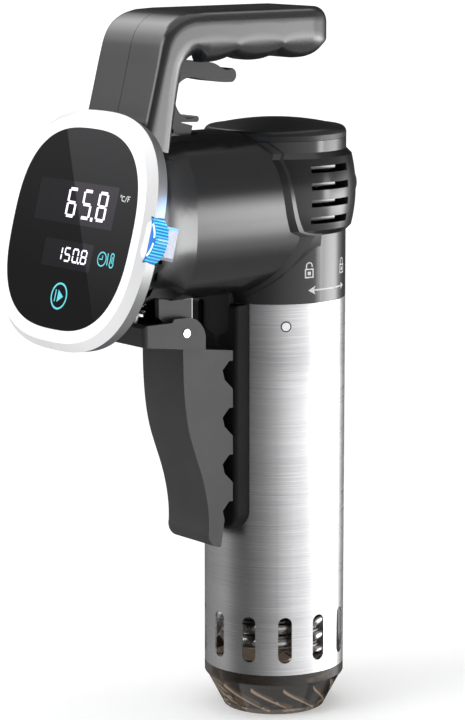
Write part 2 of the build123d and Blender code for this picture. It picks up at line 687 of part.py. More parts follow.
eye_drop = (ROD_TOP_Z - ROD_PIN_Z) / math.cos(tilt)
eye_half = 1.5
rod_pin_centre = rod_plane.from_local_coords((0, 0, -eye_drop))
eye_plane = Plane(rod_pin_centre, x_dir=(0, math.cos(tilt), -math.sin(tilt)), z_dir=(1, 0, 0))
with BuildPart() as pull_rod:
    with BuildSketch(rod_plane.offset(-1)):
        Circle(ROD_RADIUS)
    extrude(amount=-(eye_drop - 3.4))
    with BuildSketch(eye_plane):
        RectangleRounded(7.0, 6.4, 3.0)
    extrude(amount=eye_half, both=True)
    with BuildSketch(eye_plane):
        SlotOverall(5.0, 2 * ROD_PIN_RADIUS + 0.2)
    extrude(amount=eye_half + 1, both=True, mode=Mode.SUBTRACT)
save(pull_rod, "pull_rod")

collar_drop = eye_drop - 5.5
collar_thickness = 1.0
coil_reach = SPRING_RADIUS + SPRING_WIRE + 0.3
with BuildPart() as rod_collar:
    with BuildSketch(rod_plane.offset(-collar_drop)):
        Circle(coil_reach)
        Circle(ROD_RADIUS, mode=Mode.SUBTRACT)
    extrude(amount=collar_thickness)
save(rod_collar, "rod_collar")

cup_low = -collar_drop + collar_thickness + TRIGGER_TRAVEL + 1.0
cup_roof = 1.4
with BuildPart() as spring_cup:
    with BuildSketch(rod_plane.offset(cup_low)):
        Circle(CUP_RADIUS)
    extrude(amount=CUP_LENGTH)
    with BuildSketch(rod_plane.offset(cup_low)):
        Circle(coil_reach)
    extrude(amount=CUP_LENGTH - cup_roof, mode=Mode.SUBTRACT)
    with BuildSketch(rod_plane.offset(cup_low)):
        Circle(ROD_RADIUS + SLIDING)
    extrude(amount=CUP_LENGTH, mode=Mode.SUBTRACT)
save(spring_cup, "spring_cup")

spring_low = -collar_drop + collar_thickness + SPRING_WIRE + 0.1
spring_height = cup_low + CUP_LENGTH - cup_roof - SPRING_WIRE - 0.1 - spring_low
with BuildPart() as clamp_spring:
    coil = Helix(pitch=spring_height / SPRING_TURNS, height=spring_height, radius=SPRING_RADIUS)
    coil = rod_plane.offset(spring_low).location * coil
    with BuildSketch(Plane(origin=coil @ 0, z_dir=coil % 0)):
        Circle(SPRING_WIRE)
    sweep(path=coil)
save(clamp_spring, "clamp_spring")

# ---------------------------------------------------------------- clamp
pin_plane = Plane((0, PIN_Y, PIN_Z), x_dir=(0, 1, 0), z_dir=(1, 0, 0))
bracket_depth = BRACKET_REAR_Y - BRACKET_FRONT_Y
bracket_wall = 2.6
boss_radius = 4.0
with BuildPart() as clamp_bracket:
    with BuildSketch(Plane.YZ):
        with BuildLine():
            Polyline(
                (BRACKET_FRONT_Y, PIN_Z + 22),
                (BRACKET_FRONT_Y, PIN_Z + 7),
                (PIN_Y - boss_radius, PIN_Z),
            )
            ThreePointArc(
                (PIN_Y - boss_radius, PIN_Z), (PIN_Y, PIN_Z - boss_radius), (PIN_Y + boss_radius, PIN_Z)
            )
            Polyline(
                (PIN_Y + boss_radius, PIN_Z),
                (BRACKET_REAR_Y, PIN_Z + 5),
                (BRACKET_REAR_Y, PIN_Z + 22),
                (BRACKET_FRONT_Y, PIN_Z + 22),
            )
        make_face()
    extrude(amount=BRACKET_HALF_WIDTH, both=True)
    # Open channel between the two cheeks, closed at the rear.
    with BuildSketch(Plane.XY.offset(PIN_Z - boss_radius - 1)):
        with Locations((0, BRACKET_REAR_Y - bracket_wall - bracket_depth)):
            Rectangle(2 * (BRACKET_HALF_WIDTH - bracket_wall), 2 * bracket_depth)
    extrude(amount=40, mode=Mode.SUBTRACT)
    extrude(barrel_squircle(0, -SEAM), amount=1 - BARREL_FRONT_Y, mode=Mode.SUBTRACT)
    add(cover_form(-SEAM), mode=Mode.SUBTRACT)
    with BuildSketch(pin_plane):
        Circle(PIN_RADIUS)
    extrude(amount=40, both=True, mode=Mode.SUBTRACT)
save(clamp_bracket, "clamp_bracket")

with BuildPart() as clamp_pin:
    with BuildSketch(pin_plane):
        Circle(PIN_RADIUS)
    extrude(amount=ARM_HALF_WIDTH + 0.4, both=True)
save(clamp_pin, "clamp_pin")

arm_front_y = PIN_Y - 21.6
arm_rear_y = PIN_Y + 9.9
arm_floor_front = PIN_Z - 3.9
arm_floor_rear = PIN_Z - 8.0
arm_slope = (arm_floor_rear - arm_floor_front) / (arm_rear_y - arm_front_y)
with BuildPart() as thumb_arm:
    with BuildSketch(Plane.YZ):
        with BuildLine():
            Polyline(
                (arm_rear_y, PIN_Z - 2.5),
                (arm_rear_y, arm_floor_rear),
                (arm_front_y, arm_floor_front),
                (arm_front_y, PIN_Z + 3.8),
                (arm_front_y + 1.4, PIN_Z + 4.9),
                (PIN_Y - 7.2, PIN_Z + 4.9),
                (PIN_Y - 6.2, PIN_Z + 6.4),
                (PIN_Y, PIN_Z + 6.4),
            )
            ThreePointArc((PIN_Y, PIN_Z + 6.4), (PIN_Y + 7.2, PIN_Z + 3.4), (arm_rear_y, PIN_Z - 2.5))
        make_face()
    extrude(amount=ARM_HALF_WIDTH, both=True)
    front_posts = edges().filter_by(Axis.Z).group_by(Axis.Y)[0]
    fillet(front_posts, radius=2.0)
    # Channel, open above and to the rear.
    with BuildSketch(Plane.YZ):
        with BuildLine():
            Polyline(
                (arm_front_y + ARM_WALL, arm_floor_front + ARM_WALL),
                (arm_rear_y + 5, arm_floor_rear + ARM_WALL + 5 * arm_slope),
                (arm_rear_y + 5, PIN_Z + 12),
                (arm_front_y + ARM_WALL, PIN_Z + 12),
                (arm_front_y + ARM_WALL, arm_floor_front + ARM_WALL),
            )
        make_face()
    extrude(amount=ARM_HALF_WIDTH - ARM_WALL, both=True, mode=Mode.SUBTRACT)
    with BuildSketch(pin_plane):
        Circle(PIN_RADIUS + RUNNING)
    extrude(amount=40, both=True, mode=Mode.SUBTRACT)
    with BuildSketch(eye_plane):
        Circle(ROD_PIN_RADIUS)
    extrude(amount=ARM_HALF_WIDTH - 0.8, both=True, mode=Mode.SUBTRACT)
save(thumb_arm, "thumb_arm")

with BuildPart() as rod_cross_pin:
    with BuildSketch(eye_plane):
        Circle(ROD_PIN_RADIUS)
    extrude(amount=ARM_HALF_WIDTH - 1.0, both=True)
save(rod_cross_pin, "rod_cross_pin")

jaw_top = PIN_Z - 8.1
jaw_front_y = PIN_Y - 0.2
tooth_face_y = PIN_Y + 25.7
first_tooth_z = PIN_Z - 14.3
with BuildPart() as jaw_arm:
    with BuildSketch(Plane.YZ):
        with BuildLine():
            Line((tooth_face_y, jaw_top + 8), (jaw_front_y, jaw_top + 8))
            Spline(
                (jaw_front_y, jaw_top + 8),
                (jaw_front_y, jaw_top - 5),
                (jaw_front_y + 0.6, jaw_top - 18),
                (jaw_front_y + 3.6, jaw_top - 36),
                (jaw_front_y + 9.2, jaw_top - 52),
                (jaw_front_y + 12.6, jaw_top - 66),
                (jaw_front_y + 13.2, jaw_top - 77),
            )
            ThreePointArc(
                (jaw_front_y + 13.2, jaw_top - 77),
                (jaw_front_y + 15.4, jaw_top - 83.4),
                (jaw_front_y + 19.6, jaw_top - 84.8),
            )
            Polyline(
                (jaw_front_y + 19.6, jaw_top - 84.8),
                (tooth_face_y - 4.2, jaw_top - 72),
                (tooth_face_y, jaw_top - 72),
                (tooth_face_y, jaw_top + 8),
            )
        make_face()
        # Tooth row: a flat step, then a slanted back down to the next tooth.
        for tooth in range(TOOTH_COUNT):
            step_z = first_tooth_z - tooth * TOOTH_PITCH
            with BuildLine():
                Polyline(
                    (tooth_face_y + 4, step_z),
                    (tooth_face_y - 2.0, step_z),
                    (tooth_face_y - 5.4, step_z - 3.6),
                    (tooth_face_y - 4.4, step_z - 7.6),
                    (tooth_face_y, step_z - 12.0),
                    (tooth_face_y, step_z - TOOTH_PITCH),
                    (tooth_face_y + 4, step_z - TOOTH_PITCH),
                    (tooth_face_y + 4, step_z),
                )
            make_face(mode=Mode.SUBTRACT)
    extrude(amount=JAW_HALF_WIDTH, both=True)
    with BuildSketch(Plane.YZ):
        with BuildLine():
            Spline(
                (jaw_front_y + JAW_WALL, jaw_top + 9),
                (jaw_front_y + JAW_WALL, jaw_top - 5),
                (jaw_front_y + JAW_WALL + 0.6, jaw_top - 18),
                (jaw_front_y + JAW_WALL + 3.8, jaw_top - 36),
                (jaw_front_y + JAW_WALL + 9.6, jaw_top - 52),
                (jaw_front_y + JAW_WALL + 13.0, jaw_top - 66),
                (jaw_front_y + JAW_WALL + 13.6, jaw_top - 76),
            )
            Polyline(
                (jaw_front_y + JAW_WALL + 13.6, jaw_top - 76),
                (jaw_front_y + JAW_WALL + 15.2, jaw_top - 80),
                (tooth_face_y + 5, jaw_top - 77),
                (tooth_face_y + 5, jaw_top + 9),
                (jaw_front_y + JAW_WALL, jaw_top + 9),
            )
        make_face()
    extrude(amount=JAW_HALF_WIDTH - JAW_WALL, both=True, mode=Mode.SUBTRACT)
    # The jaw's top follows the thumb arm's sloping floor.
    with BuildSketch(Plane.YZ):
        with BuildLine():
            Polyline(
                (arm_front_y, arm_floor_front),
                (arm_rear_y + 30, arm_floor_rear + 30 * arm_slope),
                (arm_rear_y + 30, PIN_Z + 20),
                (arm_front_y, PIN_Z + 20),
                (arm_front_y, arm_floor_front),
            )
        make_face()
    extrude(amount=JAW_HALF_WIDTH + 1, both=True, mode=Mode.SUBTRACT)
save(jaw_arm, "jaw_arm")

# ---------------------------------------------------------------- tube pad
pad_gap = 0.3                  # the sleeve turns behind the pad
tongue_half_width = 8.7
tongue_face_y = -TUBE_RADIUS - 1.5
pad_foot_z = PAD_TOP_Z - PAD_LENGTH
with BuildPart() as pad_holder:
    with BuildSketch(Plane.XZ.offset(-tongue_face_y)):
        with BuildLine():
            Polyline(
                (-tongue_half_width, PAD_TOP_Z + 6),
                (-tongue_half_width, PAD_TOP_Z - 11),
                (-1.5, PAD_TOP_Z - 14),
                (-1.5, PAD_TOP_Z - 18),
                (1.5, PAD_TOP_Z - 18),
                (1.5, PAD_TOP_Z - 14),
                (tongue_half_width, PAD_TOP_Z - 11),
                (tongue_half_width, PAD_TOP_Z + 6),
                (-tongue_half_width, PAD_TOP_Z + 6),
            )
        make_face()
    extrude(amount=-10)
    with BuildSketch(Plane.XY.offset(pad_foot_z)):
        Circle(TUBE_RADIUS + pad_gap)
    extrude(amount=PAD_LENGTH + 10, mode=Mode.SUBTRACT)
    extrude(barrel_squircle(0, 0), amount=-BARREL_FRONT_Y, mode=Mode.SUBTRACT)
    add(saddle.part, mode=Mode.SUBTRACT)
save(pad_holder, "pad_holder")

with BuildPart() as tube_pad:
    with BuildSketch(Plane.XZ.offset(-PAD_FACE_Y)):
        with Locations((0, (PAD_TOP_Z + pad_foot_z) / 2)):
            Rectangle(2 * PAD_HALF_WIDTH, PAD_LENGTH)
    extrude(amount=-10)
    foot_corners = edges().filter_by(Axis.Y).group_by(Axis.Z)[0]
    fillet(foot_corners, radius=8.0)
    fillet(faces().sort_by(Axis.Y)[0].edges(), radius=1.6)
    with BuildSketch(Plane.XY.offset(pad_foot_z - 1)):
        Circle(TUBE_RADIUS + pad_gap)
    extrude(amount=PAD_LENGTH + 10, mode=Mode.SUBTRACT)
    # Recess that the holder's tongue fills.
    with BuildSketch(Plane.XZ.offset(-PAD_FACE_Y)):
        with Locations((0, PAD_TOP_Z - 6)):
            Rectangle(2 * (tongue_half_width + 1.5), 24)
    extrude(amount=-(tongue_face_y - PAD_FACE_Y), mode=Mode.SUBTRACT)
    add(pad_holder.part, mode=Mode.SUBTRACT)
save(tube_pad, "tube_pad")

# ---------------------------------------------------------------- wet end
flange_base = head_base + 0.25
flange_top = flange_base + 3.7
spigot_foot = sleeve_top - 16
spigot_wall = 2.5
column_radius = 6.0
column_bore = 4.0
leg_top = flange_top + 3
coil_base = CAP_HEIGHT + 6
coil_pitch = 6.6
inner_leg_x = 11.0
probe_places = ((30, 13.0, 2.0, 40.0), (150, 20.0, 1.5, 70.0), (270, 20.0, 1.5, 120.0))
screw_angles = (90, 210, 330)
flange_screw_reach = 22.0


def around(angle, reach):
    """Place on a circle about Z."""
    return Vector(reach, 0).rotate(Axis.Z, angle)


with BuildPart() as heating_coil:
    turns_height = coil_pitch * COIL_TURNS
    coil_path = Pos(0, 0, coil_base) * Helix(pitch=coil_pitch, height=turns_height, radius=COIL_RADIUS)
    with BuildSketch(Plane(origin=coil_path @ 0, z_dir=coil_path % 0)):
        Circle(COIL_TUBE_RADIUS)
    sweep(path=coil_path)
    for place in (coil_path @ 0, coil_path @ 1, Vector(inner_leg_x, 0, coil_base)):
        with Locations(place):
            Sphere(COIL_TUBE_RADIUS)
    with BuildSketch(Plane(origin=(inner_leg_x, 0, coil_base), x_dir=(0, 1, 0), z_dir=(1, 0, 0))):
        Circle(COIL_TUBE_RADIUS)
    extrude(amount=COIL_RADIUS - inner_leg_x)
    for place in (coil_path @ 1, Vector(inner_leg_x, 0, coil_base)):
        with BuildSketch(Plane.XY.offset(place.Z)):
            with Locations((place.X, place.Y)):
                Circle(COIL_TUBE_RADIUS)
        extrude(amount=leg_top - place.Z)
save(heating_coil, "heating_coil")
coil_end = coil_path @ 1

with BuildPart() as wet_flange:
    with BuildSketch(Plane.XY.offset(flange_base)):
        Circle(head_bore)
    extrude(amount=flange_top - flange_base)
    with BuildSketch(Plane.XY.offset(spigot_foot)):
        Circle(spigot_radius)
        Circle(spigot_radius - spigot_wall, mode=Mode.SUBTRACT)
    extrude(amount=head_base - spigot_foot)
    with BuildSketch(Plane.XY.offset(head_base - 3)):
        Circle(head_bore)
    extrude(amount=4)
    # Seal groove in the disc's edge.
    with BuildSketch(Plane.XY.offset(flange_base + 1.1)):
        Circle(head_bore + 1)
        Circle(head_bore - 1.4, mode=Mode.SUBTRACT)
    extrude(amount=1.5, mode=Mode.SUBTRACT)
    # Bayonet tracks: the rivets enter from below and turn 30 degrees to lock.
    track_width = 2 * (RIVET_RADIUS + SLIDING)
    track_play = 5.0
    for index in range(RIVET_COUNT):
        locked = RIVET_ANGLE + index * 360 / RIVET_COUNT
        with BuildSketch(half_plane(locked - TWIST - track_play)):
            with Locations((spigot_radius, rivet_z)):
                Rectangle(8, track_width)
        revolve(axis=Axis.Z, revolution_arc=TWIST + 2 * track_play, mode=Mode.SUBTRACT)
        with BuildSketch(half_plane(locked - TWIST - track_play)):
            with Locations((spigot_radius, (rivet_z + spigot_foot) / 2 - 1)):
                Rectangle(8, rivet_z - spigot_foot + 2)
        revolve(axis=Axis.Z, revolution_arc=2 * track_play, mode=Mode.SUBTRACT)
    # Holes of the column, the coil's legs, the probes and the screws.
    with BuildSketch(Plane.XY.offset(head_base - 4)):
        Circle(column_radius)
        for place in (coil_end, Vector(inner_leg_x, 0)):
            with Locations((place.X, place.Y)):
                Circle(COIL_TUBE_RADIUS)
        for angle, reach, radius, _ in probe_places:
            with Locations(around(angle, reach)):
                Circle(radius)
        for angle in screw_angles:
            with Locations(around(angle, flange_screw_reach)):
                Circle(SCREW_RADIUS)
    extrude(amount=20, mode=Mode.SUBTRACT)
save(wet_flange, "wet_flange")

with BuildPart() as flange_seal:
    with BuildSketch(Plane.XY.offset(flange_base + 1.1)):
        Circle(head_bore)
        Circle(head_bore - 1.4, mode=Mode.SUBTRACT)
    extrude(amount=1.5)
save(flange_seal, "flange_seal")

column_foot = CAP_HEIGHT + 3
with BuildPart() as shaft_column:
    with BuildSketch(Plane.XY.offset(column_foot)):
        Circle(column_radius)
        Circle(column_bore, mode=Mode.SUBTRACT)
    extrude(amount=flange_top - column_foot)
save(shaft_column, "shaft_column")

bearing_height = 8.0
for label, base in (("lower_bearing", column_foot), ("upper_bearing", flange_top - bearing_height)):
    with BuildPart() as bearing:
        with BuildSketch(Plane.XY.offset(base)):
            Circle(column_bore)
            Circle(SHAFT_RADIUS + RUNNING, mode=Mode.SUBTRACT)
        extrude(amount=bearing_height)
    save(bearing, label)

probes = {"temperature_probe": probe_places[:1], "level_probes": probe_places[1:]}
for label, places in probes.items():
    with BuildPart() as probe:
        for angle, reach, radius, foot in places:
            with BuildSketch(Plane.XY.offset(foot)):
                with Locations(around(angle, reach)):
                    Circle(radius)
            extrude(amount=leg_top - foot)
        tips = edges().filter_by(GeomType.CIRCLE).filter_by(lambda edge: edge.center().Z < head_base)
        fillet(tips, radius=1.0)
    save(probe, label)

# ---------------------------------------------------------------- drive
motor_base = flange_top + 10
motor_top = motor_base + MOTOR_HEIGHT
fan_base = motor_top + 4
impeller_base = CAP_FLOOR + 2.6
with BuildPart() as motor_carrier:
    with BuildSketch(Plane.XY.offset(flange_top)):
        Circle(MOTOR_RADIUS + 4)
        Circle(MOTOR_RADIUS - 1, mode=Mode.SUBTRACT)
    extrude(amount=motor_base - flange_top)
    for angle in screw_angles:
        with BuildSketch(radial_plane(angle + 60, flange_top + 6)):
            Rectangle(8, 14)
        extrude(amount=MOTOR_RADIUS + 8, mode=Mode.SUBTRACT)
    with BuildSketch(Plane.XY.offset(flange_top)):
        for angle in screw_angles:
            with Locations(around(angle, flange_screw_reach)):
                Circle(SCREW_RADIUS)
        with Locations((coil_end.X, coil_end.Y)):
            Circle(COIL_TUBE_RADIUS + SLIDING)
        for angle, reach, radius, _ in probe_places:
            with Locations(around(angle, reach)):
                Circle(radius + SLIDING)
    extrude(amount=6, mode=Mode.SUBTRACT)
save(motor_carrier, "motor_carrier")

with BuildPart() as flange_screws:
    for angle in screw_angles:
        with BuildSketch(Plane.XY.offset(head_base - 5)):
            with Locations(around(angle, flange_screw_reach)):
                Circle(SCREW_HEAD_RADIUS)
        extrude(amount=2)
        with BuildSketch(Plane.XY.offset(head_base - 4)):
            with Locations(around(angle, flange_screw_reach)):
                Circle(SCREW_RADIUS)
        extrude(amount=flange_top + 6 - (head_base - 4))
save(flange_screws, "flange_screws")

with BuildPart() as motor:
    with BuildSketch(Plane.XY.offset(motor_base)):
        Circle(MOTOR_RADIUS)
    extrude(amount=MOTOR_HEIGHT)
    chamfer(edges().filter_by(GeomType.CIRCLE).group_by(Axis.Z)[-1], length=1.5)
    with BuildSketch(Plane.XY.offset(motor_base - 1)):
        Circle(SHAFT_RADIUS + SLIDING)
    extrude(amount=MOTOR_HEIGHT + 4, mode=Mode.SUBTRACT)
save(motor, "motor")

with BuildPart() as drive_shaft:
    with BuildSketch(Plane.XY.offset(impeller_base)):
        Circle(SHAFT_RADIUS)
    extrude(amount=fan_base + 8 - impeller_base)
save(drive_shaft, "drive_shaft")

with BuildPart() as impeller:
    with BuildSketch(Plane.XY.offset(impeller_base)):
        Circle(IMPELLER_RADIUS)
    extrude(amount=1.4)
    with BuildSketch(Plane.XY.offset(impeller_base)):
        Circle(SHAFT_RADIUS + 2.4)
    extrude(amount=IMPELLER_HEIGHT + 1)
    for index in range(IMPELLER_VANES):
        turn = index * 360 / IMPELLER_VANES
        with BuildSketch(Plane.XY.offset(impeller_base + 1)):
            with BuildLine():
                ThreePointArc(
                    around(turn, SHAFT_RADIUS + 1.4),
                    around(turn - 18, IMPELLER_RADIUS * 0.6),
                    around(turn - 42, IMPELLER_RADIUS - 0.8),
                )
            trace(line_width=1.2)
        extrude(amount=IMPELLER_HEIGHT - 1)
    with BuildSketch(Plane.XY.offset(impeller_base - 1)):
        Circle(SHAFT_RADIUS)
    extrude(amount=IMPELLER_HEIGHT + 4, mode=Mode.SUBTRACT)
save(impeller, "impeller")

with BuildPart() as fan_wheel:
    with BuildSketch(Plane.XY.offset(fan_base)):
        Circle(SHAFT_RADIUS + 3)
    extrude(amount=7)
    for index in range(FAN_BLADES):
        turn = index * 360 / FAN_BLADES
        blade_plane = radial_plane(turn, fan_base + 3.5, SHAFT_RADIUS + 2)
        with BuildSketch(blade_plane.rotated((0, 0, 35))):
            Rectangle(1.2, 9)
        extrude(amount=FAN_RADIUS - SHAFT_RADIUS - 2)
    with BuildSketch(Plane.XY.offset(fan_base - 2)):
        Circle(SHAFT_RADIUS)
    extrude(amount=16, mode=Mode.SUBTRACT)
save(fan_wheel, "fan_wheel")

board_z = BARREL_AXIS_Z - 16
with BuildPart() as power_board:
    with BuildSketch(Plane.XY.offset(board_z)):
        with Locations((0, -45)):
            Rectangle(38, 30)
    extrude(amount=1.6)
    for x, y, width, length, height in ((-8, -38, 16, 12, 12), (10, -40, 10, 14, 8), (11, -54, 9, 6, 6)):
        with BuildSketch(Plane.XY.offset(board_z + 1)):
            with Locations((x, y)):
                Rectangle(width, length)
        extrude(amount=height)
    with BuildSketch(Plane.XY.offset(board_z + 1)):
        with Locations((-10, -52)):
            Circle(4.5)
    extrude(amount=14)
    with BuildSketch(Plane.XY.offset(BARREL_AXIS_Z - BARREL_HALF_HEIGHT)):
        with GridLocations(24, 22, 2, 2):
            with Locations((0, -45)):
                Circle(2.2)
    extrude(amount=board_z - BARREL_AXIS_Z + BARREL_HALF_HEIGHT)
    extrude(barrel_squircle(0, BARREL_WALL), amount=-BARREL_FRONT_Y, mode=Mode.INTERSECT)
save(power_board, "power_board")
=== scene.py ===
"""Sous vide circulator: finishes, display graphics, markings, light and camera.

Each class below owns one sub-assembly of visible pieces. Lengths are written in
millimetres and turned into metres by ``mm``.
"""
from __future__ import annotations

import json
import logging
import math
from dataclasses import dataclass, field
from enum import Enum
from typing import Protocol, Sequence, Union

import bpy
from mathutils import Matrix, Vector

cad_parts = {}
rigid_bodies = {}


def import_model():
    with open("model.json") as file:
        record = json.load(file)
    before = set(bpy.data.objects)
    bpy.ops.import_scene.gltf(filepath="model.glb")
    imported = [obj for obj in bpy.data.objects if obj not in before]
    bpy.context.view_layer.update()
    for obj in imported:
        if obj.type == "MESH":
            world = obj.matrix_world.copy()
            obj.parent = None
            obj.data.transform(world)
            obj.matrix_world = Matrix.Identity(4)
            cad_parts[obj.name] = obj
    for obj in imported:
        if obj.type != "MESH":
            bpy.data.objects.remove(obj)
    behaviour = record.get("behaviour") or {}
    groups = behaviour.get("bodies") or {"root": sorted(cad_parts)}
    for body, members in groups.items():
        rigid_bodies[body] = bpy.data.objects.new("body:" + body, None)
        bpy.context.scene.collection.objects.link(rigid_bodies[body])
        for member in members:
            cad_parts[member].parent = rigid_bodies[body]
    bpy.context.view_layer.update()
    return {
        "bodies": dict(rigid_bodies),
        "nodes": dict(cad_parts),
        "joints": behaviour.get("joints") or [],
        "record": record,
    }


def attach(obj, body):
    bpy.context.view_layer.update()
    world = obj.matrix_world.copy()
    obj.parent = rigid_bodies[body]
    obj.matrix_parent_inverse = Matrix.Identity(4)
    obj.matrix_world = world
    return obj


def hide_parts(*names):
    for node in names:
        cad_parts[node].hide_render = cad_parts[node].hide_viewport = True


logging.basicConfig(level=logging.INFO, format="%(message)s")
log = logging.getLogger("circulator")

Point2 = tuple[float, float]
Colour = tuple[float, float, float]
Feed = Union[bpy.types.NodeSocket, float, Sequence[float]]
Stroke = tuple[Sequence[Point2], float, bool]

# The display's leaning front: its upward direction and the one it faces.
PANEL_UP = (0.0, 0.2554, 0.9668)
PANEL_OUT = (0.0, -0.9668, 0.2554)


def mm(value: float) -> float:
    """Millimetres to metres."""
    return value / 1000.0


# --------------------------------------------------------------------------- finishes
class Grain(Enum):
    """How a finish's fine texture runs, as its scale along X, Y and Z."""

    MOULDED = (1.0, 1.0, 1.0)
    AROUND_Z = (0.012, 0.012, 1.0)
    ALONG_PANEL = (1.0, 0.05, 0.05)


class Pattern(Enum):
    """What a finish shows over its grain."""

    PLAIN = "plain"
    FAR_GLOW = "far glow"
    # The next two patterns paint a lighter reflection across the display glass's diagonal.
    GLASS = "glass"
    WINDOW = "window"
    # Paints cyan highlights on the ribs of the wheel's rim.
    RIBS = "ribs"
    # Paints grey shade on a side that faces away from the front.
    SIDE_TURN = "side turn"


@dataclass(frozen=True)
class Finish:
    """Everything that describes one surface finish."""

    name: str
    base: Colour
    tint: Colour
    roughness: float = 0.4
    metallic: float = 0.0
    grain: Grain = Grain.MOULDED
    grain_scale: float = 900.0
    bump: float = 0.05
    roughness_swing: float = 0.06
    coat: float = 0.0
    specular: float = 0.5
    transmission: float = 0.0
    glow: Colour = (0.0, 0.0, 0.0)
    glow_strength: float = 0.0
    pattern: Pattern = Pattern.PLAIN


FINISHES: dict[str, Finish] = {
    finish.name: finish
    for finish in (
        Finish("brushed_tube", (0.66, 0.66, 0.67), (0.50, 0.50, 0.51), 0.30, 1.0,
               Grain.AROUND_Z, 2600.0, 0.06, 0.10),
        Finish("polished_pin", (0.86, 0.86, 0.87), (0.75, 0.75, 0.76), 0.20, 1.0, bump=0.02),
        Finish("element_steel", (0.62, 0.61, 0.60), (0.40, 0.38, 0.36), 0.26, 1.0, bump=0.08),
        Finish("smoke", (0.098, 0.075, 0.060), (0.078, 0.059, 0.046), 0.08, bump=0.02,
               roughness_swing=0.04, transmission=0.92, specular=0.4),
        # The vanes' glow is painted light; they are no lamp.
        Finish("vane_amber_painted_glow", (0.85, 0.76, 0.62), (0.70, 0.60, 0.48), 0.25, bump=0.02,
               glow=(0.85, 0.75, 0.6), glow_strength=0.9),
        Finish("gloss_black", (0.010, 0.010, 0.0105), (0.014, 0.014, 0.0145), 0.17, bump=0.008,
               roughness_swing=0.03),
        Finish("satin_black", (0.010, 0.010, 0.0105), (0.015, 0.015, 0.0155), 0.34, bump=0.03,
               specular=0.4),
        # Its side turns to painted grey shade by the way it faces.
        Finish("rim_silver", (0.93, 0.93, 0.94), (0.89, 0.89, 0.90), 0.34, 0.0,
               Grain.ALONG_PANEL, 1500.0, 0.02, 0.05, specular=0.35, pattern=Pattern.SIDE_TURN),
        Finish("fairing_silver", (0.44, 0.45, 0.52), (0.36, 0.37, 0.43), 0.36, 0.35, bump=0.03,
               specular=0.3),
        # Its rim's ribs carry painted cyan highlights.
        Finish("wheel_blue", (0.01, 0.16, 0.52), (0.03, 0.34, 0.72), 0.16, bump=0.02, coat=0.5,
               glow=(0.0, 0.16, 0.62), glow_strength=0.42, pattern=Pattern.RIBS),
        Finish("handle_shell", (0.020, 0.020, 0.0205), (0.024, 0.024, 0.0245), 0.25, bump=0.0015,
               grain_scale=900.0, roughness_swing=0.02, specular=0.65),
        Finish("clamp_shell", (0.030, 0.030, 0.031), (0.040, 0.040, 0.041), 0.42, bump=0.06,
               grain_scale=1500.0, specular=0.35),
        Finish("holder_black", (0.012, 0.012, 0.012), (0.018, 0.018, 0.018), 0.42, bump=0.05,
               grain_scale=1500.0, specular=0.2),
        Finish("rubber", (0.007, 0.007, 0.007), (0.012, 0.012, 0.012), 0.60, bump=0.10,
               grain_scale=1200.0, specular=0.15),
        Finish("nylon", (0.72, 0.71, 0.67), (0.62, 0.61, 0.57), 0.45, bump=0.04),
        Finish("board", (0.02, 0.14, 0.06), (0.03, 0.20, 0.09), 0.40, bump=0.05),
        Finish("motor_can", (0.34, 0.34, 0.35), (0.26, 0.26, 0.27), 0.35, 0.9, bump=0.04),
        Finish("digits", (0.85, 0.80, 0.95), (0.90, 0.86, 1.0), 0.4, bump=0.0,
               glow=(0.93, 0.86, 1.0), glow_strength=0.7),
        Finish("teal_light", (0.08, 0.42, 0.48), (0.10, 0.50, 0.56), 0.4, bump=0.0,
               glow=(0.10, 0.52, 0.60), glow_strength=0.42),
        # Glowing arcs of painted highlight on the wheel's rim.
        Finish("wheel_painted_highlight", (0.75, 0.90, 1.0), (0.80, 0.95, 1.0), 0.3, bump=0.0,
               glow=(0.62, 0.86, 1.0), glow_strength=0.8),
        # Both panes below get a painted reflection: lighter grey beyond the glass's diagonal.
        Finish("window_pane", (0.030, 0.030, 0.034), (0.038, 0.038, 0.042), 0.12, bump=0.0,
               roughness_swing=0.02, specular=0.15, pattern=Pattern.WINDOW),
        Finish("display_black", (0.012, 0.012, 0.013), (0.016, 0.016, 0.017), 0.10, bump=0.0,
               roughness_swing=0.02, specular=0.15, pattern=Pattern.GLASS),
        Finish("white_print", (0.80, 0.80, 0.80), (0.72, 0.72, 0.72), 0.45, bump=0.02),
        # Black of painted shade in recesses: screw sockets and rivet rings.
        Finish("painted_shade_black", (0.006, 0.006, 0.006), (0.012, 0.012, 0.012), 0.6, bump=0.05),
        Finish("louvre", (0.020, 0.020, 0.020), (0.028, 0.028, 0.028), 0.22, bump=0.01,
               specular=0.9),
        Finish("floor", (0.90, 0.90, 0.90), (0.88, 0.88, 0.88), 0.75, bump=0.01,
               glow=(1.0, 1.0, 1.0), pattern=Pattern.FAR_GLOW),
    )
}

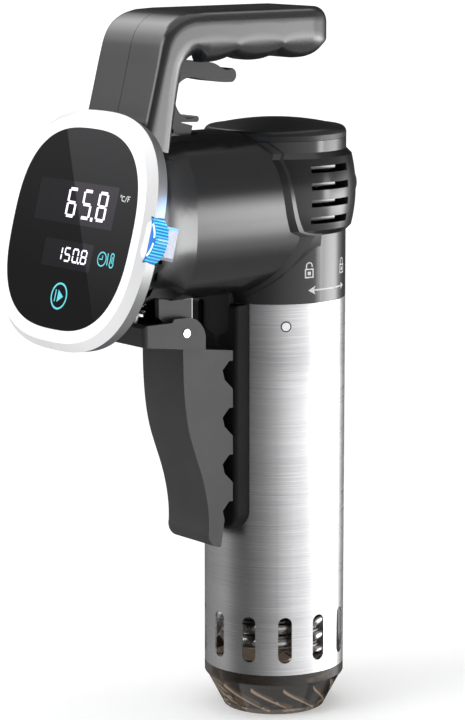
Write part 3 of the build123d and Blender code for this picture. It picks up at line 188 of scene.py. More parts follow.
# Light tent: brightness by bearing in degrees, and share by height in metres.
TENT_PEAK = 8.0
TENT_REACH = 3.0
TENT_LAYERS: tuple[tuple[tuple[Point2, ...], tuple[Point2, ...]], ...] = (
    (((-180, 0.10), (-150, 0.20), (-128, 0.32), (-106, 0.18), (-85, 0.14), (-60, 0.32),
      (-45, 0.50), (-22, 1.05), (7, 1.6), (30, 2.0), (80, 2.2), (90, 1.4), (98, 0.4),
      (112, 0.12), (145, 0.10), (180, 0.08)),
     ((-3.0, 0.25), (-1.0, 0.32), (-0.7, 0.6), (-0.5, 1.0), (0.10, 1.0), (0.35, 0.25),
      (3.0, 0.15))),
    (((43, 0.0), (49, 7.5), (60, 8.0), (74, 6.0), (86, 0.0)),
     ((-0.55, 0.0), (-0.34, 1.0), (-0.02, 1.0), (0.20, 0.0))),
    (((31, 0.0), (37, 1.2), (42, 1.45), (47, 0.0)),
     ((-0.32, 0.0), (-0.17, 5.0), (-0.05, 7.2), (0.05, 8.0), (0.13, 7.2), (0.30, 1.6),
      (0.50, 0.0))),
    (((98, 0.0), (102, 1.0), (118, 1.0), (122, 0.0)),
     ((2.15, 0.0), (2.25, 2.6), (2.75, 2.6), (2.85, 0.0))),
    (((-180, 1.0), (-125, 1.0), (-105, 0.0), (150, 0.0), (180, 1.0)),
     ((0.5, 0.2), (1.0, 1.7), (1.6, 3.2), (3.0, 6.0))),
)

# Y and Z of the screws that hold the handle halves together.
SCREW_PLACES: tuple[Point2, ...] = ((8.0, 292.0), (-14.0, 292.0), (-74.63, 265.0))

NODE_FINISHES: dict[str, str] = {
    node: finish
    for finish, nodes in {
        "brushed_tube": ("steel_sleeve",),
        "polished_pin": ("sleeve_rivets", "handle_screws", "pull_rod", "rod_collar",
                         "clamp_spring", "clamp_pin", "rod_cross_pin", "flange_screws",
                         "drive_shaft"),
        "smoke": ("pump_cap",),
        "gloss_black": ("head_housing", "barrel_housing", "display_back_cover"),
        "satin_black": ("head_lid", "wheel_encoder", "trigger_guide", "spring_cup"),
        "rubber": ("cord_gland", "tube_pad", "flange_seal"),
        "rim_silver": ("bezel",),
        "display_black": ("display_glass",),
        "board": ("display_board", "power_board"),
        "wheel_blue": ("scroll_wheel",),
        "fairing_silver": ("wheel_fairing",),
        "handle_shell": ("handle_right", "handle_left"),
        "clamp_shell": ("trigger", "clamp_bracket", "thumb_arm", "jaw_arm"),
        "holder_black": ("pad_holder",),
        "element_steel": ("heating_coil", "shaft_column", "temperature_probe", "level_probes"),
        "nylon": ("wet_flange", "lower_bearing", "upper_bearing", "motor_carrier", "impeller",
                  "fan_wheel"),
        "motor_can": ("motor",),
    }.items()
    for node in nodes
}


@dataclass
class Wiring:
    """Adds nodes to one node tree and joins them up."""

    tree: bpy.types.NodeTree

    def add(self, kind: str, **settings: str) -> bpy.types.Node:
        """Add a node and set its options.

        Args:
            kind: Node type without its ShaderNode prefix.
            settings: Options by name.
        Returns:
            The new node.
        """
        node = self.tree.nodes.new(f"ShaderNode{kind}")
        for name, value in settings.items():
            setattr(node, name, value)
        return node

    def feed(self, socket: bpy.types.NodeSocket, value: Feed) -> None:
        """Link a socket to another one, or set its value.

        Args:
            socket: The input to feed.
            value: A socket to link, or a number or colour to set.
        """
        if isinstance(value, bpy.types.NodeSocket):
            self.tree.links.new(value, socket)
        else:
            socket.default_value = value

    def shade(self, **values: Feed) -> None:
        """Feed inputs of the main shader, each named with underscores for its spaces."""
        for name, value in values.items():
            self.feed(self.tree.nodes["Principled BSDF"].inputs[name.replace("_", " ")], value)

    def coords(self, output: str = "Object") -> bpy.types.NodeSocket:
        """Coordinates of the surface."""
        return self.add("TexCoord").outputs[output]

    def split(self) -> bpy.types.NodeOutputs:
        """Object coordinates as X, Y and Z."""
        node = self.add("SeparateXYZ")
        self.feed(node.inputs["Vector"], self.coords())
        return node.outputs

    def math(self, operation: str, *values: Feed, kind: str = "Math",
             output: int | str = 0) -> bpy.types.NodeSocket:
        """Add an operation on numbers.

        Args:
            operation: Blender's name of the operation.
            values: What it works on.
            kind: Type of the node that does it.
            output: Which of its outputs is read.
        Returns:
            The socket with the result.
        """
        node = self.add(kind, operation=operation)
        for socket, value in zip(node.inputs, values):
            self.feed(socket, value)
        return node.outputs[output]

    def vector(self, operation: str, *values: Feed) -> bpy.types.NodeSocket:
        """Add an operation on vectors that gives a number."""
        return self.math(operation, *values, kind="VectorMath", output="Value")

    def span(self, value: Feed, source: Point2,
             target: Point2 = (0.0, 1.0)) -> bpy.types.NodeSocket:
        """Carry a number over from one range to another and hold it there.

        Args:
            value: The number.
            source: Range it comes from.
            target: Range it goes to.
        Returns:
            The socket with the result.
        """
        node = self.add("MapRange")
        names = ("Value", "From Min", "From Max", "To Min", "To Max")
        for name, amount in zip(names, (value, *source, *target)):
            self.feed(node.inputs[name], amount)
        return node.outputs["Result"]

    def tone(self, share: Feed, low: Feed, high: Feed) -> bpy.types.NodeSocket:
        """Mix two colours.

        Args:
            share: How much of the second one shows.
            low: First colour.
            high: Second colour.
        Returns:
            The socket with the colour.
        """
        node = self.add("Mix", data_type="RGBA")
        for name, value in (("Factor", share), ("A", low), ("B", high)):
            self.feed(node.inputs[name], value)
        return node.outputs["Result"]

    def noise(self, coords: Feed, scale: Sequence[float], detail: float) -> bpy.types.NodeSocket:
        """Add a stretched noise texture.

        Args:
            coords: Where the surface is.
            scale: Scale along X, Y and Z.
            detail: Octaves of finer noise.
        Returns:
            The socket with the noise from 0 to 1.
        """
        mapping, noise = self.add("Mapping"), self.add("TexNoise")
        self.feed(mapping.inputs["Scale"], scale)
        self.feed(mapping.inputs["Vector"], coords)
        self.feed(noise.inputs["Scale"], 1.0)
        self.feed(noise.inputs["Detail"], detail)
        self.feed(noise.inputs["Vector"], mapping.outputs["Vector"])
        return noise.outputs["Fac"]

    def ramp(self, value: Feed, stops: Sequence[Point2]) -> bpy.types.NodeSocket:
        """Add a grey ramp.

        Args:
            value: What drives the ramp, from 0 to 1.
            stops: Place and brightness of each stop.
        Returns:
            The ramp's colour socket.
        """
        ramp = self.add("ValToRGB")
        elements = ramp.color_ramp.elements
        while len(elements) > 1:
            elements.remove(elements[-1])
        for index, (place, grey) in enumerate(stops):
            element = elements[0] if index == 0 else elements.new(place)
            element.position = place
            element.color = (grey, grey, grey, 1.0)
        self.feed(ramp.inputs["Fac"], value)
        return ramp.outputs["Color"]

    def seen_share(self) -> bpy.types.NodeSocket:
        """One for rays that see the surroundings directly, in a mirror or through glass."""
        ray = self.add("LightPath").outputs
        total = ray["Is Camera Ray"]
        for kind in ("Is Glossy Ray", "Is Transmission Ray"):
            total = self.math("MAXIMUM", total, ray[kind])
        return total


@dataclass
class Paintbox:
    """Builds each finish's node material once and hands it out."""

    made: dict[str, bpy.types.Material] = field(default_factory=dict)
    broad_scale: float = 55.0                      # mottling under the fine grain
    mottling: Point2 = (0.12, 0.40)                # noise over which base turns to tint
    bump_depth: float = 0.0002
    rib_half: float = 0.00062                      # half the step from rib to rib
    rib_edge: Point2 = (0.00022, 0.00045)          # from a groove's middle to the rib
    rim_front: Point2 = (0.15392, 0.15372)         # along the panel's normal
    rim_shade_turn: Point2 = (0.30, 0.76)                # painted grey shade on the side to white front
    coat_roughness: float = 0.12
    floor_reach: Point2 = (0.10, 1.6)              # where its own glow starts and is full
    floor_glow: Point2 = (0.16, 0.40)
    reflection_lean: float = 1.65                       # slope of the diagonal where the painted reflection starts
    reflection_step: Point2 = (0.2260, 0.2272)          # how sharply the painted reflection starts across it
    reflection_rise: Point2 = (0.185, 0.255)            # heights between which the painted reflection grows
    # Strength of the painted reflection from its lower to its upper height.
    reflection_strength: Point2 = (0.15, 1.0)

    def get(self, name: str) -> bpy.types.Material:
        """Return the material of a finish.

        Args:
            name: Key into FINISHES.
        Returns:
            The node material.
        """
        if name not in self.made:
            finish = FINISHES[name]
            patterns = {
                Pattern.FAR_GLOW: self._far_glow,
                Pattern.GLASS: self._glass,
                Pattern.WINDOW: self._window,
                Pattern.RIBS: self._ribs,
                Pattern.SIDE_TURN: self._side_turn,
            }
            self.made[name] = self._build(finish)
            if finish.pattern in patterns:
                patterns[finish.pattern](Wiring(self.made[name].node_tree))
        return self.made[name]

    def _build(self, finish: Finish) -> bpy.types.Material:
        """Build one finish's node tree.

        Args:
            finish: The finish to build.
        Returns:
            The new material.
        """
        material = bpy.data.materials.new(f"paint_{finish.name}")
        material.use_nodes = True
        material.diffuse_color = (*finish.base, 1.0)
        wires = Wiring(material.node_tree)
        coords, grain = wires.coords(), finish.grain.value
        fine = wires.noise(coords, [finish.grain_scale * part for part in grain], 3.0)
        broad = wires.noise(coords, [self.broad_scale * max(part, 0.2) for part in grain], 2.0)
        mottle = wires.span(wires.math("MULTIPLY", fine, broad), self.mottling)
        smooth = max(0.02, finish.roughness - finish.roughness_swing)
        rough = finish.roughness + finish.roughness_swing
        wires.shade(
            Base_Color=wires.tone(mottle, (*finish.base, 1.0), (*finish.tint, 1.0)),
            Roughness=wires.span(fine, (0.0, 1.0), (smooth, rough)),
            Metallic=finish.metallic,
            Specular_IOR_Level=finish.specular,
            Coat_Weight=finish.coat,
            Coat_Roughness=self.coat_roughness,
            Transmission_Weight=finish.transmission,
            Emission_Color=(*finish.glow, 1.0),
            Emission_Strength=finish.glow_strength,
        )
        if finish.bump > 0:
            bump = wires.add("Bump")
            wires.feed(bump.inputs["Strength"], finish.bump)
            wires.feed(bump.inputs["Distance"], self.bump_depth)
            wires.feed(bump.inputs["Height"], fine)
            wires.shade(Normal=bump.outputs["Normal"])
        return material

    def _far_glow(self, wires: Wiring) -> None:
        """Let the floor keep its brightness far away, where no lamp reaches.

        Args:
            wires: Node tree of the material.
        """
        reach = wires.vector("LENGTH", wires.coords())
        fade = wires.span(reach, self.floor_reach, self.floor_glow)
        wires.shade(Emission_Strength=wires.math("MULTIPLY", fade, wires.seen_share()))

    def _glass(self, wires: Wiring) -> None:
        """Paint a reflection on the black display glass: lighter grey beyond its diagonal."""
        self._paint_reflection_split(wires, (0.006, 0.006, 0.0065, 1.0), (0.034, 0.034, 0.036, 1.0))

    def _window(self, wires: Wiring) -> None:
        """Paint a reflection on a dark window: violet grey beyond the glass's diagonal."""
        self._paint_reflection_split(wires, (0.012, 0.012, 0.0135, 1.0), (0.066, 0.060, 0.070, 1.0))

    def _paint_reflection_split(self, wires: Wiring, dark: Sequence[float], light: Sequence[float]) -> None:
        """Paint a reflection: dark on one side of the glass's diagonal, lighter on the other.

        Args:
            wires: Node tree of the material.
            dark: Colour left of the diagonal, without the reflection.
            light: Colour of the painted reflection right of it, at the top.
        """
        place = wires.split()
        across = wires.math("MULTIPLY_ADD", place["X"], self.reflection_lean, place["Z"])
        step = wires.span(across, self.reflection_step)
        fade = wires.span(place["Z"], self.reflection_rise, self.reflection_strength)
        # The lighter side is a painted reflection that fades in with height.
        wires.shade(Base_Color=wires.tone(wires.math("MULTIPLY", step, fade), dark, light))

    def _ribs(self, wires: Wiring) -> None:
        """Paint cyan highlights on the ribs of the blue wheel's rim; the grooves keep the darker
        blue.

        Args:
            wires: Node tree of the material.
        """
        coords = wires.coords()
        ribs = wires.math("PINGPONG", wires.vector("DOT_PRODUCT", coords, PANEL_UP), self.rib_half)
        rim = wires.span(wires.vector("DOT_PRODUCT", coords, PANEL_OUT), self.rim_front)
        share = wires.math("MULTIPLY", wires.span(ribs, self.rib_edge), rim)
        # The cyan on the ribs, in colour and glow, is painted highlight.
        wires.shade(
            Base_Color=wires.tone(share, (0.01, 0.15, 0.50, 1.0), (0.10, 0.62, 0.80, 1.0)),
            Emission_Color=wires.tone(share, (0.0, 0.13, 0.52, 1.0), (0.05, 0.75, 1.0, 1.0)),
        )

    def _side_turn(self, wires: Wiring) -> None:
        """Turn the rim's white satin front to grey on its side, as painted shade, and to brushed
        metal.

        Args:
            wires: Node tree of the material.
        """
        facing = wires.vector("DOT_PRODUCT", wires.coords("Normal"), PANEL_OUT)
        turn = wires.span(facing, self.rim_shade_turn)
        shader = wires.tree.nodes["Principled BSDF"]
        front = shader.inputs["Base Color"].links[0].from_socket
        # The grey where the rim faces away from the front is painted shade; the metallic share is
        # the side's brushed metal.
        wires.shade(
            Base_Color=wires.tone(turn, (0.26, 0.26, 0.265, 1.0), front),
            Metallic=wires.span(turn, (0.0, 1.0), (0.6, 0.0)),
        )

    @staticmethod
    def tent_cloth() -> bpy.types.Material:
        """Glowing cloth whose light changes round the object and with height.

        Returns:
            The material of the light tent.
        """
        material = bpy.data.materials.new("paint_tent_cloth")
        material.use_nodes = True
        wires = Wiring(material.node_tree)
        place = wires.split()
        share = wires.span(wires.math("ARCTAN2", place["Y"], place["X"]), (-math.pi, math.pi))
        climb = wires.span(place["Z"], (-TENT_REACH, TENT_REACH))
        total: Feed = 0.0
        for around, upward in TENT_LAYERS:
            across = wires.ramp(share, [((bearing + 180.0) / 360.0, light / TENT_PEAK)
                                        for bearing, light in around])
            level = wires.ramp(climb, [((height + TENT_REACH) / (2 * TENT_REACH), light / TENT_PEAK)
                                       for height, light in upward])
            total = wires.math("ADD", total, wires.math("MULTIPLY", across, level))
        wires.shade(
            Base_Color=(0.0, 0.0, 0.0, 1.0),
            Specular_IOR_Level=0.0,
            Emission_Color=(1.0, 1.0, 1.0, 1.0),
            Emission_Strength=wires.math("MULTIPLY", total, TENT_PEAK * TENT_PEAK),
        )
        return material


# --------------------------------------------------------------------------- surfaces to draw on
class Surface(Protocol):
    """Something flat or curved that a drawing is laid on."""

    def place(self, u: float, v: float, lift: float) -> Vector:
        """Point in metres for a drawing's point in millimetres."""


@dataclass(frozen=True)
class DisplayPlane:
    """The display's leaning front face.

    Attributes:
        tilt: Lean in degrees.
        origin: Middle of the glass face in millimetres.
    """

    tilt: float = 14.8
    origin: tuple[float, float, float] = (0.0, -105.3, 215.24)

    def place(self, u: float, v: float, lift: float) -> Vector:
        """Find a point over the face.

        Args:
            u: Millimetres to the right of the middle.
            v: Millimetres up the face.
            lift: Millimetres in front of it.
        Returns:
            The point in metres.
        """
        lean = math.radians(self.tilt)
        up = Vector((0.0, math.sin(lean), math.cos(lean)))
        out = Vector((0.0, -math.cos(lean), math.sin(lean)))
        return (Vector(self.origin) + Vector((u, 0, 0)) + up * v + out * lift) / 1000.0


@dataclass(frozen=True)
class Drum:
    """An upright round surface.

    Attributes:
        radius: Its radius in millimetres.
        angle: Bearing in degrees from +X at which u is 0.
    """

    radius: float
    angle: float

    def place(self, u: float, v: float, lift: float) -> Vector:
        """Find a point over the drum.

        Args:
            u: Millimetres round it.
            v: Height in millimetres.
            lift: Millimetres outside it.
        Returns:
            The point in metres.
        """
        turn = math.radians(self.angle) + u / self.radius
        reach = self.radius + lift
        return Vector((reach * math.cos(turn), reach * math.sin(turn), v)) / 1000.0


@dataclass(frozen=True)
class Ink:
    """How a drawing is laid on a surface."""

    finish: str
    slot: str
    lift: float = 0.05                             # from the surface to its middle, in mm
    thick: float = 0.06


PANE_INK = Ink("window_pane", "glass_black", 0.02, 0.02)
DIGIT_INK = Ink("digits", "glass_black", 0.06, 0.05)
TOUCH_INK = Ink("teal_light", "glass_black")
UNIT_INK = Ink("white_print", "glass_black")
MARK_INK = Ink("white_print", "white_plastic", 0.04, 0.04)
# Black rings of painted shade round the rivets.
RIVET_SHADE_INK = Ink("painted_shade_black", "steel", 0.03, 0.06)
# Ink for the wheel's painted highlight arcs.
WHEEL_HIGHLIGHT_INK = Ink("wheel_painted_highlight", "wheel_blue", -2.66, 0.06)


def arc(centre: Point2, radius: float, start: float, end: float, steps: int = 24) -> list[Point2]:
    """Points along a flat arc.

    Args:
        centre: Its centre.
        radius: Its radius.
        start: First angle in degrees.
        end: Last angle in degrees.
        steps: Number of steps between them.
    Returns:
        The points.
    """
    result = []
    for index in range(steps + 1):
        turn = math.radians(start + (end - start) * index / steps)
        result.append((centre[0] + radius * math.cos(turn), centre[1] + radius * math.sin(turn)))
    return result


def circle(centre: Point2, radius: float, steps: int) -> list[Point2]:
    """Points round a full circle, each once."""
    return arc(centre, radius, 0, 360, steps)[:-1]


def line(start: Point2, end: Point2, steps: int = 1) -> list[Point2]:
    """Points along a straight line."""
    return [(start[0] + (end[0] - start[0]) * step / steps,
             start[1] + (end[1] - start[1]) * step / steps) for step in range(steps + 1)]


def rectangle(low: Point2, high: Point2) -> list[Point2]:
    """Corners of an upright rectangle from its lower left and upper right ones."""
    return [low, (high[0], low[1]), high, (low[0], high[1])]


def blend_knots(knots: Sequence[Point2], part: float) -> Point2:
    """Point on a smooth curve between the second and third of four knots.

    Args:
        knots: Four points in a row.
        part: Place between the middle two, from 0 to 1.
    Returns:
        The point.
    """
    before, start, end, after = (Vector(knot) for knot in knots)
    spot = 0.5 * (2 * start + (end - before) * part
                  + (2 * before - 5 * start + 4 * end - after) * part ** 2
                  + (3 * start - before - 3 * end + after) * part ** 3)
    return spot.x, spot.y


# --------------------------------------------------------------------------- workshop
@dataclass
class Workshop:
    """Makes the pieces that Blender adds, and books each one on its body."""

    paints: Paintbox
    count: int = 0

    @staticmethod
    def select(obj: bpy.types.Object) -> None:
        """Make an object the only selected and the active one.

        Args:
            obj: The object.
        """
        bpy.ops.object.select_all(action="DESELECT")
        obj.select_set(True)
        bpy.context.view_layer.objects.active = obj

    @staticmethod
    def mesh(name: str, points: Sequence[Vector], faces: Sequence[Sequence[int]],
             edges: Sequence[tuple[int, int]] = ()) -> bpy.types.Object:
        """Turn points into a linked object.

        Args:
            name: Name of the object.
            points: Its points in metres.
            faces: Its faces, by the numbers of their points.
            edges: Edges that belong to no face.
        Returns:
            The new object.
        """
        data = bpy.data.meshes.new(name)
        data.from_pydata([tuple(point) for point in points], list(edges),
                         [tuple(face) for face in faces])
        obj = bpy.data.objects.new(name, data)
        bpy.context.scene.collection.objects.link(obj)
        return obj

    def face_out(self, obj: bpy.types.Object, merge: float = 0.0) -> None:
        """Make all faces look outwards.

        Args:
            obj: The object.
            merge: Points closer than this are joined first, in metres.
        """
        self.select(obj)
        bpy.ops.object.mode_set(mode="EDIT")
        bpy.ops.mesh.select_all(action="SELECT")
        if merge:
            bpy.ops.mesh.remove_doubles(threshold=merge)
        bpy.ops.mesh.normals_make_consistent(inside=False)
        bpy.ops.object.mode_set(mode="OBJECT")

    def smooth(self, obj: bpy.types.Object, angle: float) -> None:
        """Shade an object smooth where its faces meet by less than an angle in degrees."""
        self.select(obj)
        bpy.ops.object.shade_smooth_by_angle(angle=math.radians(angle))

    def finish(self, obj: bpy.types.Object, finish: str, body: str, slot: str) -> None:
        """Give a piece its material and its body.

        Args:
            obj: The finished piece.
            finish: Key into FINISHES.
            body: CAD body it rides on.
            slot: Record material slot; not used.
        """
        obj.data.materials.clear()
        obj.data.materials.append(self.paints.get(finish))
        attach(obj, body)
        self.count += 1
        log.info("piece %-22s %6d faces on %s", obj.name, len(obj.data.polygons), body)

    def ribbons(self, name: str, strokes: Sequence[Stroke], surface: Surface,
                ink: Ink) -> bpy.types.Object:
        """Lay flat strokes on a surface and give them a little thickness.

        Args:
            name: Name of the piece.
            strokes: For each stroke, its points, its width and whether it closes.
            surface: What it is laid on.
            ink: How it is laid.
        Returns:
            The new object.
        """
        points: list[Vector] = []
        faces: list[list[int]] = []
        for path, width, closed in strokes:
            spots = [Vector((x, y, 0)) for x, y in path]
            total = len(spots)
            first = len(points)
            for index, here in enumerate(spots):
                before = spots[(index - 1) % total] if closed or index else here
                after = spots[(index + 1) % total] if closed or index < total - 1 else here
                into = (here - before).normalized() if (here - before).length > 1e-9 else None
                away = (after - here).normalized() if (after - here).length > 1e-9 else None
                along = ((into or away) + (away or into)).normalized()
                side = Vector((-along.y, along.x, 0))
                stretch = 1.0 / max(0.5, abs(along.dot(into or away)))
                for sign in (1, -1):
                    spot = here + side * (sign * width / 2 * stretch)
                    points.append(surface.place(spot.x, spot.y, ink.lift))
            for index in range(total if closed else total - 1):
                near, far = first + 2 * index, first + 2 * ((index + 1) % total)
                faces.append([near, near + 1, far + 1, far])
        return self.thicken(self.mesh(name, points, faces), ink.thick)

    def plates(self, name: str, outlines: Sequence[Sequence[Point2]], surface: Surface,
               ink: Ink) -> bpy.types.Object:
        """Lay filled outlines on a surface and give them a little thickness.

        Args:
            name: Name of the piece.
            outlines: The points of each outline.
            surface: What it is laid on.
            ink: How it is laid.
        Returns:
            The new object.
        """
        points: list[Vector] = []
        faces: list[list[int]] = []
        for outline in outlines:
            first = len(points)
            points.extend(surface.place(u, v, ink.lift) for u, v in outline)
            faces.append(list(range(first, first + len(outline))))
        return self.thicken(self.mesh(name, points, faces), ink.thick)

    def thicken(self, obj: bpy.types.Object, thick: float) -> bpy.types.Object:
        """Give a sheet a thickness, half to each side.

        Args:
            obj: The sheet.
            thick: Thickness in millimetres.
        Returns:
            The same object.
        """
        self.face_out(obj, 1e-7)
        solid = obj.modifiers.new("thickness", "SOLIDIFY")
        solid.thickness = mm(thick)
        solid.offset = 0.0
        bpy.ops.object.modifier_apply(modifier=solid.name)
        return obj

    def spin(self, name: str, profile: Sequence[Point2], start: float, sweep: float,
             steps: int) -> bpy.types.Object:
        """Turn an outline about the upright axis.

        Args:
            name: Name of the piece.
            profile: Radius and height pairs in millimetres.
            start: First angle in degrees from +X.
            sweep: Angle covered in degrees, towards +Y.
            steps: Number of segments.
        Returns:
            The new object.
        """
        turn = Matrix.Rotation(math.radians(start), 4, "Z")
        ring = [turn @ Vector((mm(radius), 0, mm(height))) for radius, height in profile]
        edges = [(index, index + 1) for index in range(len(ring) - 1)]
        obj = self.mesh(name, ring, [], edges)
        self.select(obj)
        bpy.ops.object.mode_set(mode="EDIT")
        bpy.ops.mesh.select_all(action="SELECT")
        # In background mode a positive angle turns clockwise here, hence the minus.
        bpy.ops.mesh.spin(steps=steps, angle=-math.radians(sweep), center=(0, 0, 0), axis=(0, 0, 1))
        bpy.ops.object.mode_set(mode="OBJECT")
        self.face_out(obj, 1e-6)
        self.smooth(obj, 35)
        return obj

    def skin(self, name: str, rings: Sequence[Sequence[Vector]]) -> bpy.types.Object:
        """Skin closed outlines one after another and close both ends.

        Args:
            name: Name of the piece.
            rings: Outlines with equally many points, in metres.
        Returns:
            The new object.
        """
        count, last = len(rings[0]), len(rings) - 1
        faces = []
        for row in range(last):
            for index in range(count):
                near, far = row * count + index, row * count + (index + 1) % count
                faces.append([near, far, far + count, near + count])
        faces += [list(range(count)), list(range(last * count, (last + 1) * count))]
        obj = self.mesh(name, [point for ring in rings for point in ring], faces)
        self.face_out(obj)
        return obj


@dataclass
class Assembly:
    """Sub-assembly of visible pieces that ride on one CAD body."""

    shop: Workshop
    body: str

    def draw(self, name: str, strokes: Sequence[Stroke], surface: Surface, ink: Ink) -> None:
        """Book strokes on a surface as a piece."""
        self.shop.finish(self.shop.ribbons(name, strokes, surface, ink),
                         ink.finish, self.body, ink.slot)

    def lay(self, name: str, outlines: Sequence[Sequence[Point2]], surface: Surface,
            ink: Ink) -> None:
        """Book filled outlines on a surface as a piece."""
        self.shop.finish(self.shop.plates(name, outlines, surface, ink),
                         ink.finish, self.body, ink.slot)


# --------------------------------------------------------------------------- display
SEGMENTS: dict[str, str] = {
    "0": "abcdef", "1": "bc", "5": "afgcd", "6": "afgedc", "8": "abcdefg",
}


@dataclass
class Readout:
    """A row of seven-segment digits.

    Attributes:
        text: Digits and full stops.
        right: Right edge of the row.
        base: Lower edge.
        width: Width of a digit.
        height: Height of a digit.
        pitch: Step from digit to digit.
        stroke: Width of a segment.
    """

    text: str
    right: float
    base: float
    width: float
    height: float
    pitch: float
    stroke: float

    def strokes(self) -> list[Stroke]:
        """Segment strokes of the whole row.

        Returns:
            The strokes of all digits and stops.
        """
        found: list[Stroke] = []
        digits = [char for char in self.text if char != "."]
        place = self.right - self.width - self.pitch * (len(digits) - 1)
        for char in self.text:
            if char == ".":
                spot = place - self.pitch + self.width + (self.pitch - self.width) * 0.42
                half = self.stroke * 0.6
                found.append(([(spot, self.base - half * 0.4), (spot, self.base + half * 1.6)],
                              2 * half, False))
                continue
            found.extend(self._digit(char, place))
            place += self.pitch
        return found

    def _digit(self, char: str, left: float) -> list[Stroke]:
        """Draw one digit.

        Args:
            char: The digit.
            left: Its left edge.
        Returns:
            Its strokes.
        """
        inset = self.stroke * 0.5
        x0, x1 = left + inset, left + self.width - inset
        y0, y2 = self.base + inset, self.base + self.height - inset
        y1 = (y0 + y2) / 2
        gap = self.stroke * 0.32
        ends = {
            "a": ((x0 + gap, y2), (x1 - gap, y2)),
            "b": ((x1, y2 - gap), (x1, y1 + gap)),
            "c": ((x1, y1 - gap), (x1, y0 + gap)),
            "d": ((x0 + gap, y0), (x1 - gap, y0)),
            "e": ((x0, y1 - gap), (x0, y0 + gap)),
            "f": ((x0, y2 - gap), (x0, y1 + gap)),
            "g": ((x0 + gap, y1), (x1 - gap, y1)),
        }
        return [(list(ends[name]), self.stroke, False) for name in SEGMENTS[char]]


@dataclass
class DisplayFace(Assembly):
    """Windows, digits and touch symbols on the display glass."""

    plane: DisplayPlane = field(default_factory=DisplayPlane)
    windows: tuple[tuple[str, Point2, Point2], ...] = (
        ("window_upper", (-26.8, 1.9), (26.9, 19.0)),
        ("window_lower", (-15.5, -16.1), (17.7, -5.0)),
    )
    rows: tuple[tuple[str, Readout], ...] = (
        ("digits_current", Readout("65.8", 21.1, 4.4, 6.5, 12.1, 10.3, 1.25)),
        ("digits_set", Readout("150.8", 14.5, -13.4, 4.1, 5.9, 5.6, 0.72)),
    )

    def build(self) -> None:
        """Make every lit or printed thing on the display."""
        for name, low, high in self.windows:
            self.lay(name, [rectangle(low, high)], self.plane, PANE_INK)
        for name, row in self.rows:
            self.draw(name, row.strokes(), self.plane, DIGIT_INK)
        self._symbols()

    def _symbols(self) -> None:
        """Clock and thermometer, play and pause, and the degree signs."""
        bulb = arc((31.3, -7.9), 0.95, 0, 180, 10) + [(30.35, -10.3)]
        timer = [
            (circle((24.7, -9.8), 2.75, 40), 0.5, True),
            ([(24.9, -8.3), (24.9, -9.9), (23.0, -9.9)], 0.42, False),
            (line((28.6, -11.9), (28.2, -7.1)), 0.5, False),
            (bulb + arc((31.3, -11.3), 1.25, 140, 400, 18), 0.5, True),
            (line((31.3, -8.2), (31.3, -11.0)), 0.4, False),
        ]
        self.draw("symbol_timer", timer, self.plane, TOUCH_INK)
        ring = [
            (circle((1.25, -27.4), 5.1, 48), 0.75, True),
            (line((-1.25, -29.8), (-1.25, -25.0)), 0.6, False),
        ]
        self.draw("symbol_start_ring", ring, self.plane, TOUCH_INK)
        arrow = [(0.35, -29.9), (4.1, -27.4), (0.35, -24.9)]
        self.lay("symbol_start_arrow", [arrow], self.plane, TOUCH_INK)
        degrees = [
            (circle((29.0, 15.9), 0.42, 14), 0.22, True),
            (arc((30.7, 14.95), 0.95, 50, 310, 16), 0.34, False),
            (line((31.9, 13.6), (33.0, 16.2)), 0.28, False),
            ([(33.7, 13.9), (33.7, 16.0), (35.0, 16.0)], 0.34, False),
            (line((33.7, 15.0), (34.7, 15.0)), 0.30, False),
        ]
        self.draw("symbol_degrees", degrees, self.plane, UNIT_INK)


# --------------------------------------------------------------------------- head
@dataclass
class HeadMarks(Assembly):
    """White lock symbols and the turning arrow on the head's collar."""

    radius: float = 30.0
    arrow_angle: float = 10.9
    arrow_rise: float = 184.4
    arrow_sweep: float = 22.4
    lock_base: float = 189.9
    lock_size: Point2 = (3.6, 3.4)
    shackle: Point2 = (1.35, 1.4)                  # radius and straight length

    def build(self) -> None:
        """Make the two padlocks and the arrow."""
        self._padlock("mark_unlocked", -10.6, 0.9)
        self._padlock("mark_locked", 29.6, 0.0)
        drum, mid = Drum(self.radius, self.arrow_angle), self.arrow_rise
        half = self.radius * math.radians(self.arrow_sweep)
        shaft = [(line((-half + 2.4, mid), (half - 1.6, mid), 24), 0.62, False)]
        heads = [
            [(-half, mid), (-half + 3.6, 186.3), (-half + 2.7, mid), (-half + 3.6, 182.5)],
            [(half, mid), (half - 2.9, 182.9), (half - 2.2, mid), (half - 2.9, 185.9)],
        ]
        self.draw("mark_arrow_shaft", shaft, drum, MARK_INK)
        self.lay("mark_arrow_heads", heads, drum, MARK_INK)

    def _padlock(self, name: str, angle: float, opening: float) -> None:
        """Draw one padlock outline with its keyhole block and shackle.

        Args:
            name: Name of the outline's piece.
            angle: Its bearing in degrees.
            opening: Gap under the shackle's free end.
        """
        drum = Drum(self.radius, angle)
        (width, height), (reach, leg) = self.lock_size, self.shackle
        base, top = self.lock_base, self.lock_base + height
        box = rectangle((-width / 2, base), (width / 2, top))
        shackle = [(-reach, top), (-reach, top + leg)]
        shackle += [(-x, y) for x, y in arc((0, top + leg), reach, 0, 180, 14)][1:]
        shackle += [(reach, top + opening)]
        self.draw(name, [(box, 0.55, True), (shackle, 0.5, False)], drum, MARK_INK)
        block = rectangle((-0.75, base + 0.95), (0.75, base + 2.4))
        self.lay(name + "_block", [block], drum, MARK_INK)


